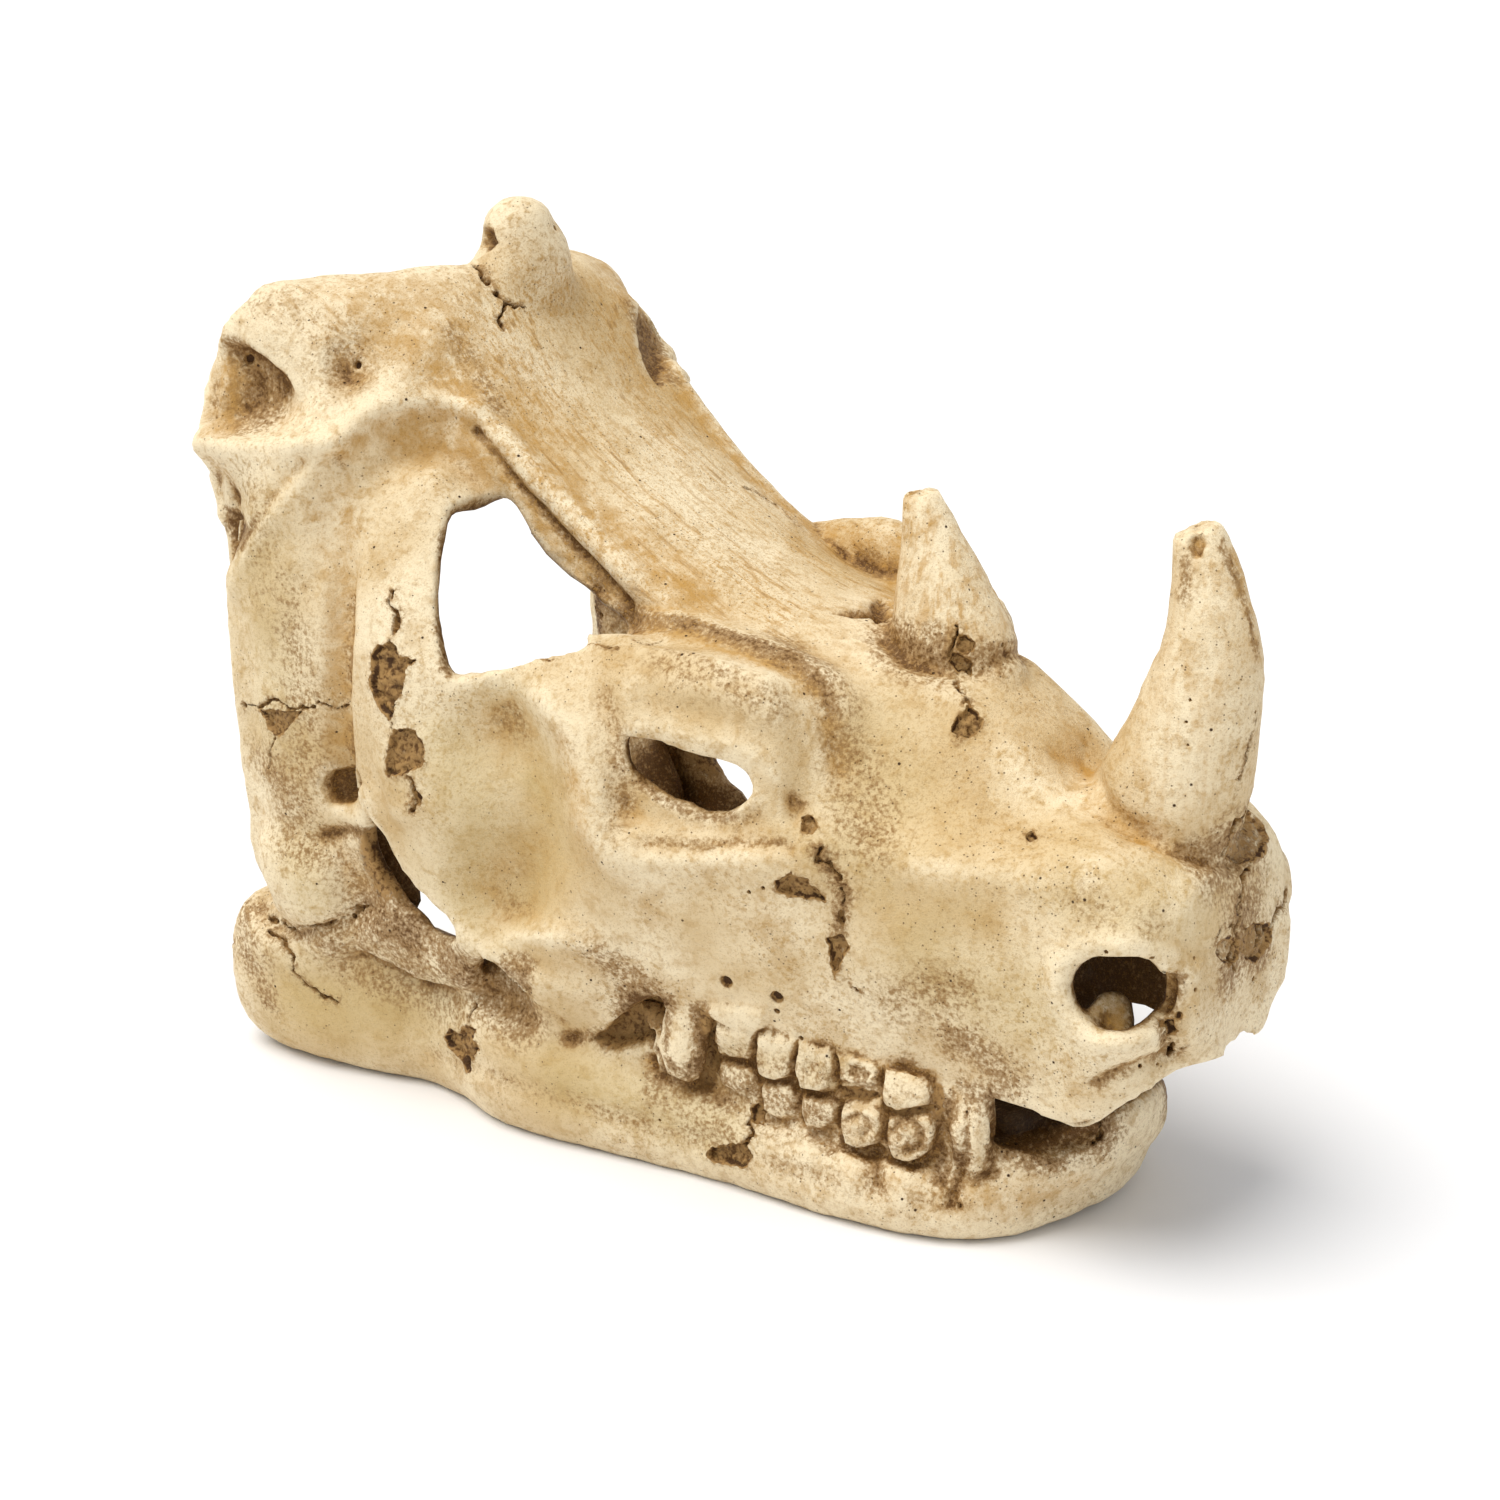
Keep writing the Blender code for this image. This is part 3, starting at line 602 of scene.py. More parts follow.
@dataclass(frozen=True)
class Teeth:
    """Wall that the cheek teeth are carved on, the big rear tooth and the tusk, on both sides."""

    wall: Rod = Rod(
        "tooth_wall",
        ((12, -32, 28, 3, 9), (20, -34, 27, 3, 10), (28, -36.8, 26, 3.8, 11), (44, -35.4, 25.5, 3.8, 11),
         (58, -33.2, 25, 3.8, 11), (70, -31.4, 24.5, 3.4, 10), (75, -29.5, 23, 2.8, 8)),
        power=0.7,
    )  # fmt: skip
    rear: Rod = Rod(
        "rear_tooth",
        ((16, -39.3, 40, 3.4, 3.6), (16.2, -40.6, 36, 5.0, 5.2), (16.3, -41.4, 30, 6.3, 6.6),
         (16.3, -41.2, 25, 5.9, 6.2), (16.2, -40.4, 21.5, 3.6, 4.0)),
        (1, 0, 0),
    )  # fmt: skip
    tusk: Rod = Rod(
        "tusk", ((80.5, -28, 33.5, 2.8, 3), (80, -28.8, 26, 4.5, 4.4), (79.5, -29, 17.5, 4.3, 4.2)), (1, 0, 0)
    )
    far_tusk: Rod = Rod(
        "far_tusk",
        ((78, 28, 33.5, 2.8, 3), (77.5, 28.8, 26, 4.2, 4.2), (77.3, 29, 17.5, 4.3, 4.2)),
        (1, 0, 0),
    )

    def build(self) -> list[Body]:
        """Makes the rods of both sides."""
        twins = [twin.build() for rod in (self.wall, self.rear) for twin in (rod, rod.mirrored())]
        return [*twins, self.tusk.build(), self.far_tusk.build()]


@dataclass(frozen=True)
class Crown:
    """The horns, the knob on the crest, the lump of the far brow, and the lump and rim in the nostril."""

    rods: tuple[Rod, ...] = (
        Rod("nostril_lump", ((109.1, -28.5, 48, 3, 3), (107.9, -25.1, 48.8, 3.2, 3.2),
                             (106.8, -21.4, 51.8, 3.1, 3.1), (106.2, -19.5, 54.6, 2.6, 2.6)), (1, 0, 0)),
        Rod("nostril_rim", ((104.2, -30.8, 52.2, 1.9, 1.9), (104, -27.1, 53.4, 1.8, 1.8),
                            (103.7, -24.5, 55.6, 1.7, 1.7), (104.1, -21.6, 56.8, 1.7, 1.7),
                            (105.4, -19.4, 56.2, 1.9, 1.9)), (1, 0, 0)),
        Rod("nasal_horn", ((99, 0, 82, 14, 16), (103.5, 0, 91, 13.8, 15), (107.8, 0, 106, 11.9, 12.4),
                           (110.3, 0, 120, 9.4, 9.9), (109, 0, 133, 6.9, 7.2), (107, 0, 141, 5.2, 5.4)),
            (1, 0, 0), around=44),
        Rod("frontal_horn", ((54, 0, 102, 13.5, 16.5), (52.5, 0, 112, 12, 14), (49.5, 0, 124, 9.2, 9.8),
                             (46.8, 0, 134, 6.2, 6.4), (44.5, 0, 140.5, 4.4, 4.4)), (1, 0, 0), around=40),
        Rod("knob", ((-69, 0, 168, 15, 11), (-67, 1, 177, 13.5, 10.5), (-66, 1, 183, 11.5, 10),
                     (-66, 0, 187.5, 9, 8)), (1, 0, 0)),
        Rod("far_brow", ((-8, 33, 117, 7, 7), (3, 34, 119, 7.5, 7.5), (13, 34, 119.5, 7.5, 7.5),
                         (22, 33, 115, 6, 6))),
    )  # fmt: skip

    def build(self) -> list[Body]:
        """Makes the rods."""
        return [rod.build() for rod in self.rods]


def sheltered(points: Array, normals: Array, cell: float = 2.0, turns: int = 6, rise: float = 1.7) -> Array:
    """Works out how much of the sky over each point the skin itself hides.

    The points are turned a few times over and set on a grid of cells. In each of the grid's six
    directions a running maximum tells which cells have skin beyond them. A point takes its own
    cells' answers from a little above the skin, weighted by how squarely it faces each direction.

    Args:
        points: (n, 3) points in millimetres.
        normals: (n, 3) normals.
        cell: side of a cell, in millimetres.
        turns: how often the points are turned over.
        rise: how far above the skin the answers are taken, in cells.

    Returns:
        The hidden share of each point's sky, 0 to 1.
    """
    hidden = np.zeros(len(points))
    total = np.zeros(len(points))
    for turn in range(turns):
        spin = np.linalg.qr(np.random.default_rng(60 + turn).normal(size=(3, 3)))[0]
        turned, facing = points @ spin, normals @ spin
        origin = turned.min(axis=0) - 4 * cell
        place = np.round((turned - origin) / cell).astype(int)
        above = np.round((turned + facing * rise * cell - origin) / cell).astype(int)
        full = np.zeros(place.max(axis=0) + 6, bool)
        full[tuple(place.T)] = True
        for axis in range(3):
            beyond = np.maximum.accumulate(np.flip(full, axis), axis=axis)
            for blocked, square in ((np.flip(beyond, axis), facing[:, axis]),
                                    (np.maximum.accumulate(full, axis=axis), -facing[:, axis])):  # fmt: skip
                weight = np.maximum(square, 0)
                hidden += weight * blocked[tuple(above.T)]
                total += weight
    return hidden / total


@dataclass(frozen=True)
class PhotoCamera:
    """Camera of the photo: it looks at `target` from `distance`, lengths in millimetres, focus in pixels."""

    azimuth: float = 39.0
    elevation: float = 17.5
    focal: float = 2400.0
    distance: float = 525.0
    target: Triple = (-3.939, 0.026, 79.2)
    sensor: float = 36.0

    def axes(self) -> tuple[Array, Array, Array]:
        """Directions to the right, up and backwards from the camera."""
        turn, rise = math.radians(self.azimuth), math.radians(self.elevation)
        back = np.array((math.sin(turn) * math.cos(rise), -math.cos(turn) * math.cos(rise), math.sin(rise)))
        right = np.array((math.cos(turn), math.sin(turn), 0.0))
        return right, np.cross(back, right), back

    def place(self) -> Array:
        """Where the camera stands."""
        return np.array(self.target) + self.axes()[2] * self.distance

    def ray(self, spot: Array | Row) -> tuple[Array, Array]:
        """The start and direction of the line of sight through a pixel."""
        right, up, back = self.axes()
        middle = IMAGE_SIDE / 2
        way = (spot[0] - middle) * right - (spot[1] - middle) * up - back * self.focal
        return self.place(), way / np.linalg.norm(way)

    def flatten(self, points: Array) -> Array:
        """The pixels at which the points are seen."""
        right, up, back = self.axes()
        seen = points - self.place()
        depth = -(seen @ back)
        middle = IMAGE_SIDE / 2
        across, rise = self.focal * (seen @ right) / depth, self.focal * (seen @ up) / depth
        return np.stack([middle + across, middle - rise], axis=1)

    def build(self) -> Body:
        """Makes the scene's camera."""
        data = bpy.data.cameras.new("camera")
        data.sensor_width = self.sensor
        data.lens = self.focal / IMAGE_SIDE * self.sensor
        data.clip_start = 0.01
        data.clip_end = 500.0
        camera = bpy.data.objects.new("camera", data)
        camera.location = Vector(self.place() * MM)
        way = Vector(self.axes()[2])
        camera.rotation_euler = way.to_track_quat("Z", "Y").to_euler()
        bpy.context.scene.collection.objects.link(camera)
        bpy.context.scene.camera = camera
        return camera


CAMERA = PhotoCamera()


class View(Enum):
    """Where a mark is drawn from: the photo's view in pixels, or a straight view in millimetres.

    A straight view has its two drawn axes and the direction in which it looks.
    """

    PHOTO = None
    FAR = (0, 2, (0.0, -1.0, 0.0))
    BACK = (1, 2, (1.0, 0.0, 0.0))
    TOP = (0, 1, (0.0, 0.0, -1.0))

    def unit(self) -> float:
        """Drawn units to a millimetre."""
        return CAMERA.focal / CAMERA.distance if self is View.PHOTO else 1.0

    def ray(self, spot: Array | Row) -> tuple[Array, Array]:
        """The start and direction of the line of sight through a drawn point."""
        if self is View.PHOTO:
            return CAMERA.ray(spot)
        first, second, way = self.value
        start = -np.array(way) * FAR_OFF
        start[first], start[second] = spot
        return start, np.array(way)

    def flatten(self, points: Array) -> Array:
        """The drawn places of points."""
        return CAMERA.flatten(points) if self is View.PHOTO else points[:, self.value[:2]]


class Coat(IntEnum):
    """Colour coats that a mark can leave, and the channel that each one is kept in."""

    # brown wash of the recesses and round cracks, also painted shade where the skin hides the sky and in some
    # gaps
    UMBER = 0
    # ochre stain, also painted shade where the skin hides the sky
    OCHRE = 1
    # pale paint, also painted highlights on the teeth
    PALE = 2
    # dark filling of cracks, chips and bubbles, also painted shade in some dark gaps
    FILL = 3
    # painted shade: an olive darkening of the cheek, jaw, pillar and lower snout
    OLIVE = 4
    STREAK = 5
    HORN = 6
    SPECK = 7


PHOTO, FAR, BACK, TOP = View
UMBER, OCHRE, PALE, FILL, OLIVE, STREAK, HORN, SPECK = Coat


@dataclass(frozen=True)
class Mark:
    """Something drawn in a view and laid on the skin, on both sides if it has a twin.

    Its path is x, y, x, y and so on. The fields that a kind of mark adds are its measures.
    """

    path: Row
    coat: Coat = field(default=UMBER, kw_only=True)
    view: View = field(default=PHOTO, kw_only=True)
    twin: bool = field(default=True, kw_only=True)
    closed = False

    def drawn(self) -> Array:
        """The (n, 2) drawn points, back to the first one where the path is an outline."""
        spots = np.reshape(self.path, (-1, 2)).astype(float)
        return np.vstack([spots, spots[:1]]) if self.closed else spots

    def sides(self) -> tuple[bool, ...]:
        """False for the mark itself, True for its twin."""
        return (False, True) if self.twin else (False,)


@dataclass(frozen=True)
class Hollow(Mark):
    """Hollow inside an outline, or a boss where `depth` is negative, with a side `slope` millimetres wide."""

    depth: float
    slope: float
    tint: float
    closed = True


@dataclass(frozen=True)
class Groove(Mark):
    """Carved line, or a ridge where `depth` is negative: it falls off as exp(-(distance / width) ** 2)."""

    width: float
    depth: float
    tint: float


@dataclass(frozen=True)
class Softening(Mark):
    """Stretch of skin that is smoothed along a path, fading out over `radius` millimetres."""

    radius: float
    strength: float

    def share(self, skin: Skin) -> Array:
        """How far each point is moved to its smoothed place."""
        share = np.zeros(len(skin.points))
        for twin in self.sides():
            path = skin.cast(self, twin)
            if len(path):
                index = skin.around(path, self.radius * 2)
                gap = path_distance(skin.points[index], path) / self.radius
                share[index] = np.maximum(share[index], self.strength * np.exp(-(gap**2)))
        return share


@dataclass(frozen=True)
class Crack(Mark):
    """Jagged crack with a dark filling. Its width wanders along its path."""

    width: float
    depth: float


@dataclass(frozen=True)
class Chip(Mark):
    """Place where the skin has come off: a sunken floor with a sharp broken rim, dark by `fill`."""

    depth: float
    fill: float
    closed = True


@dataclass(frozen=True)
class Bubble(Mark):
    """Casting bubble: a round pit, with a raised ring round it where `ring` is 1."""

    radius: float
    depth: float
    ring: float


@dataclass(frozen=True)
class ColourPatch(Mark):
    """Patch of colour along a path, fading over `radius` millimetres; below 0 it takes the coat off. It lays
    stains, and painted shade and painted highlights too.
    """

    radius: float
    strength: float


def marks(kind: type[Mark], *rows: Row, **shared: object) -> tuple[Mark, ...]:
    """Makes marks of one kind.

    Args:
        kind: class of the marks.
        rows: for each mark its measures, in the order of the kind's fields, then its path.
        shared: what the marks have in common, such as their coat or view.

    Returns:
        The marks.
    """
    count = len(kind.__annotations__)
    return tuple(kind(row[count:], *row[:count], **shared) for row in rows)


@dataclass(frozen=True)
class Break:
    """Broken-off tip: the skin beyond a plane through `place` is pressed back onto it, roughly."""

    place: Triple
    facing: Triple
    reach: float
    roughness: float = 0.45
    pressed: float = 0.92

    def snap(self, skin: Skin) -> None:
        """Flattens the tip."""
        way = np.array(self.facing) / np.linalg.norm(self.facing)
        apart = skin.points - np.array(self.place)
        over = apart @ way - self.roughness * Grain(1.6, 71).fractal(skin.points)
        near = (over > 0) & (np.linalg.norm(apart, axis=1) < self.reach)
        skin.points[near] -= over[near, None] * way * self.pressed
        skin.write()


@dataclass
class Skin:
    """The skull's skin as arrays: points and normals in millimetres, edges, and a value per coat."""

    body: Body
    points: Array = field(init=False)
    normals: Array = field(init=False)
    edges: Array = field(init=False)
    coats: Array = field(init=False)
    tree: BVHTree = field(init=False)
    cast_step: float = 1.2  # between the points of a path laid on the skin, in mm

    def __post_init__(self) -> None:
        """Reads the mesh."""
        self.read()
        self.coats = np.zeros((len(self.points), len(Coat)))
        self.look_again()

    def read(self) -> None:
        """Reads points, normals and edges from the mesh."""
        mesh = self.body.data
        self.points = read_numbers(mesh.vertices, "co", 3).astype(float) / MM
        self.edges = read_numbers(mesh.edges, "vertices", 2, np.int32)
        self.read_normals()

    def read_normals(self) -> None:
        """Reads the normals of the mesh as it stands."""
        self.normals = read_numbers(self.body.data.vertex_normals, "vector", 3).astype(float)

    def write(self) -> None:
        """Writes the points back and refreshes the normals."""
        self.body.data.vertices.foreach_set("co", (self.points * MM).astype(np.float32).ravel())
        self.body.data.update()
        self.read_normals()

    def look_again(self) -> None:
        """Rebuilds the tree that lines of sight are cast at."""
        self.body.data.calc_loop_triangles()
        corners = read_numbers(self.body.data.loop_triangles, "vertices", 3, np.int32)
        self.tree = BVHTree.FromPolygons(self.points.tolist(), corners.tolist())

    def middle_of_neighbours(self, values: Array) -> Array:
        """The mean of each point's neighbours' values, for an (n, d) array."""
        size = len(self.points)
        first, second = self.edges.T
        number = np.bincount(first, minlength=size) + np.bincount(second, minlength=size)
        columns = [
            np.bincount(first, values[second, axis], size) + np.bincount(second, values[first, axis], size)
            for axis in range(values.shape[1])
        ]
        return np.stack(columns, axis=1) / np.maximum(number, 1)[:, None]

    def smoothed(self, values: Array, rounds: int) -> Array:
        """The values after some rounds of moving halfway to the neighbours' mean."""
        for _ in range(rounds):
            values = (values + self.middle_of_neighbours(values)) / 2
        return values

    def cast(self, mark: Mark, twin: bool) -> Array:
        """Lays a mark's path on the skin.

        Args:
            mark: the mark.
            twin: whether the path is moved to the other side of the skull.

        Returns:
            The (n, 3) points of the path on the skin.
        """
        rows = mark.drawn()
        spots = [rows[0]]
        for start, end in zip(rows[:-1], rows[1:]):
            count = max(1, int(np.linalg.norm(end - start) / mark.view.unit() / self.cast_step))
            spots += [start + (end - start) * (step + 1) / count for step in range(count)]
        found = []
        for spot in spots:
            start, way = mark.view.ray(spot)
            hit = self.tree.ray_cast(Vector(start), Vector(way))[0]
            if hit is not None:
                found.append(self.moved_over(hit) if twin else tuple(hit))
        return np.array(found).reshape(-1, 3)

    def moved_over(self, place: Vector) -> tuple[float, ...]:
        """The nearest point of the skin to a place mirrored to the other side."""
        return tuple(self.tree.find_nearest(Vector((place[0], -place[1], place[2])))[0])

    def around(self, path: Array, reach: float) -> Array:
        """Numbers of the points within `reach` of the box round a path."""
        low, high = path.min(axis=0) - reach, path.max(axis=0) + reach
        return np.flatnonzero(((self.points > low) & (self.points < high)).all(axis=1))

    def fit(self, low: Array, high: Array) -> None:
        """Keeps the skin inside a box, with its foot flat on the floor."""
        self.points = np.clip(self.points, low, high)
        self.write()

    def tint(self, index: Array, coat: Coat, value: Array) -> None:
        """Raises a coat of some points to at least the given value."""
        self.coats[index, coat] = np.maximum(self.coats[index, coat], value)


@dataclass
class Carver:
    """Lays marks on a skin. Moves add up and are made together, so that marks don't shift one another."""

    skin: Skin
    move: Array = field(init=False)
    reach: float = 2.2  # how far a groove or colour patch still acts, in its own widths
    bubble_reach: float = 2.5  # and a bubble, in its radii
    turned_away: float = 2.5  # how fast a groove fades where the skin turns away from the view
    crack_reach: float = 4.0  # the lengths from here on are in mm
    crack_lip: float = 0.12
    chip_lip: float = 0.15
    outline_reach: float = 2.5
    hollow_shake: float = 0.3
    chip_shake: float = 0.34

    def __post_init__(self) -> None:
        """Starts with no move."""
        self.move = np.zeros(len(self.skin.points))

    def lay(self, *laid: Mark) -> None:
        """Lays marks of any kind, on both sides if they have a twin."""
        work = {
            Hollow: self.hollow,
            Groove: self.groove,
            Crack: self.crack,
            Chip: self.chip,
            Bubble: self.bubble,
            ColourPatch: self.lay_colour_patch,
        }
        for mark in laid:
            for twin in mark.sides():
                path = self.skin.cast(mark, twin)
                if len(path):
                    work[type(mark)](mark, path, twin)

    def groove(self, mark: Groove, path: Array, twin: bool) -> None:
        """Lays a groove or ridge, weaker where the skin turns away from the view."""
        index = self.skin.around(path, mark.width * self.reach)
        share = np.exp(-((path_distance(self.skin.points[index], path) / mark.width) ** 2))
        way = mark.view.ray(mark.path[:2])[1] * MIRROR[twin]
        facing = np.clip(-self.turned_away * (self.skin.normals[index] @ way), -1, 1)
        self.move[index] -= mark.depth * share * facing
        if mark.tint:
            self.skin.tint(index, mark.coat, mark.tint * share * ease(-0.6, 0.0, facing))

    def crack(self, mark: Crack, path: Array, twin: bool) -> None:
        """Lays a crack: its distance is taken from shaken points, which makes it jagged."""
        index = self.skin.around(path, self.crack_reach)
        points = self.skin.points[index]
        shaken = points + 0.6 * Grain(2.2, 11).shake(points) + 0.4 * Grain(0.9, 12).shake(points)
        width = 0.6 * mark.width * (1.0 + 1.1 * Grain(1.6, 13).at(points))
        gap = path_distance(shaken, path) / np.maximum(width, 0.12)
        floor = 1 - ease(0.6, 1.3, gap)
        self.move[index] -= mark.depth * floor
        self.move[index] += self.crack_lip * np.exp(-(((gap - 2.0) / 0.8) ** 2))
        self.skin.tint(index, FILL, floor * np.clip(0.9 + 0.4 * Grain(1.2, 14).at(points), 0.5, 1))
        self.skin.tint(index, UMBER, 0.4 * np.exp(-((gap / 3.5) ** 2)))

    def inner_depth(self, mark: Hollow | Chip, path: Array, twin: bool, shake: float) -> tuple[Array, Array]:
        """Finds the points near an outline, on the skin that its view sees.

        Args:
            mark: the mark with the outline.
            path: its path on the skin.
            twin: whether it is laid on the other side.
            shake: how far, in millimetres, its edge wanders.

        Returns:
            The points' numbers, and how far inside the outline each is, negative outside, in millimetres.
        """
        index = self.skin.around(path, self.outline_reach)
        points = self.skin.points[index]
        span = np.linalg.norm(path.max(axis=0) - path.min(axis=0))
        close = path_distance(points, path) < span / 2 + 1.5
        close &= (self.skin.normals[index] * MIRROR[twin]) @ mark.view.ray(mark.path[:2])[1] < 0.05
        index, points = index[close], points[close]
        drawn = mark.view.flatten(points * MIRROR[twin] + shake * Grain(1.3, 21).shake(points))
        depth = path_distance(drawn, mark.drawn()) / mark.view.unit()
        return index, np.where(inside(mark.path, drawn[:, 0], drawn[:, 1]), depth, -depth)

    def hollow(self, mark: Hollow, path: Array, twin: bool) -> None:
        """Lays a hollow or a boss."""
        index, depth = self.inner_depth(mark, path, twin, self.hollow_shake)
        floor = ease(-0.25 * mark.slope, 0.75 * mark.slope, depth)
        self.move[index] -= mark.depth * floor
        if mark.tint:
            self.skin.tint(index, mark.coat, mark.tint * floor)

    def chip(self, mark: Chip, path: Array, twin: bool) -> None:
        """Lays a chip: a rough floor inside its outline, darkest along the broken rim."""
        index, depth = self.inner_depth(mark, path, twin, self.chip_shake)
        points = self.skin.points[index]
        depth = depth + 0.3 * Grain(0.8, 25).at(points)
        floor = ease(-0.1, 0.4, depth)
        self.move[index] -= 1.2 * mark.depth * floor * (1 + 0.5 * Grain(1.3, 22).fractal(points))
        self.skin.tint(index, FILL, mark.fill * floor * (0.75 + 0.35 * Grain(1.4, 23).at(points)))
        edge = np.clip(0.9 + 0.7 * Grain(2.2, 24).at(points), 0, 1)
        self.skin.tint(index, FILL, edge * np.exp(-(((depth - 0.2) / 0.42) ** 4)))
        self.move[index] += self.chip_lip * np.exp(-(((depth + 0.35) / 0.3) ** 2))
        self.skin.tint(index, UMBER, 0.3 * ease(-1.6, 0.0, depth))

    def bubble(self, mark: Bubble, path: Array, twin: bool) -> None:
        """Lays a bubble."""
        index = self.skin.around(path, mark.radius * self.bubble_reach)
        gap = path_distance(self.skin.points[index], path) / mark.radius
        self.move[index] -= mark.depth * (1 - ease(0.4, 1.0, gap))
        self.move[index] += mark.ring * 0.35 * mark.depth * np.exp(-(((gap - 1.35) / 0.3) ** 2))
        self.skin.tint(index, FILL, 1 - ease(0.5, 1.05, gap))

    def lay_colour_patch(self, mark: ColourPatch, path: Array, twin: bool) -> None:
        """Lays a patch of colour with a ragged outline; stains, painted shade and painted highlights are all
        laid so.
        """
        index = self.skin.around(path, mark.radius * self.reach)
        points = self.skin.points[index]
        gap = path_distance(points, path) / mark.radius * (1 + 0.25 * Grain(6.0, 31).fractal(points))
        share = mark.strength * np.exp(-(gap**2))
        if mark.strength > 0:
            self.skin.tint(index, mark.coat, share)
        else:
            self.skin.coats[index, mark.coat] *= 1 + share

    def carve(self) -> None:
        """Makes the moves."""
        self.skin.points += self.skin.normals * self.move[:, None]
        self.skin.write()
        self.move[:] = 0


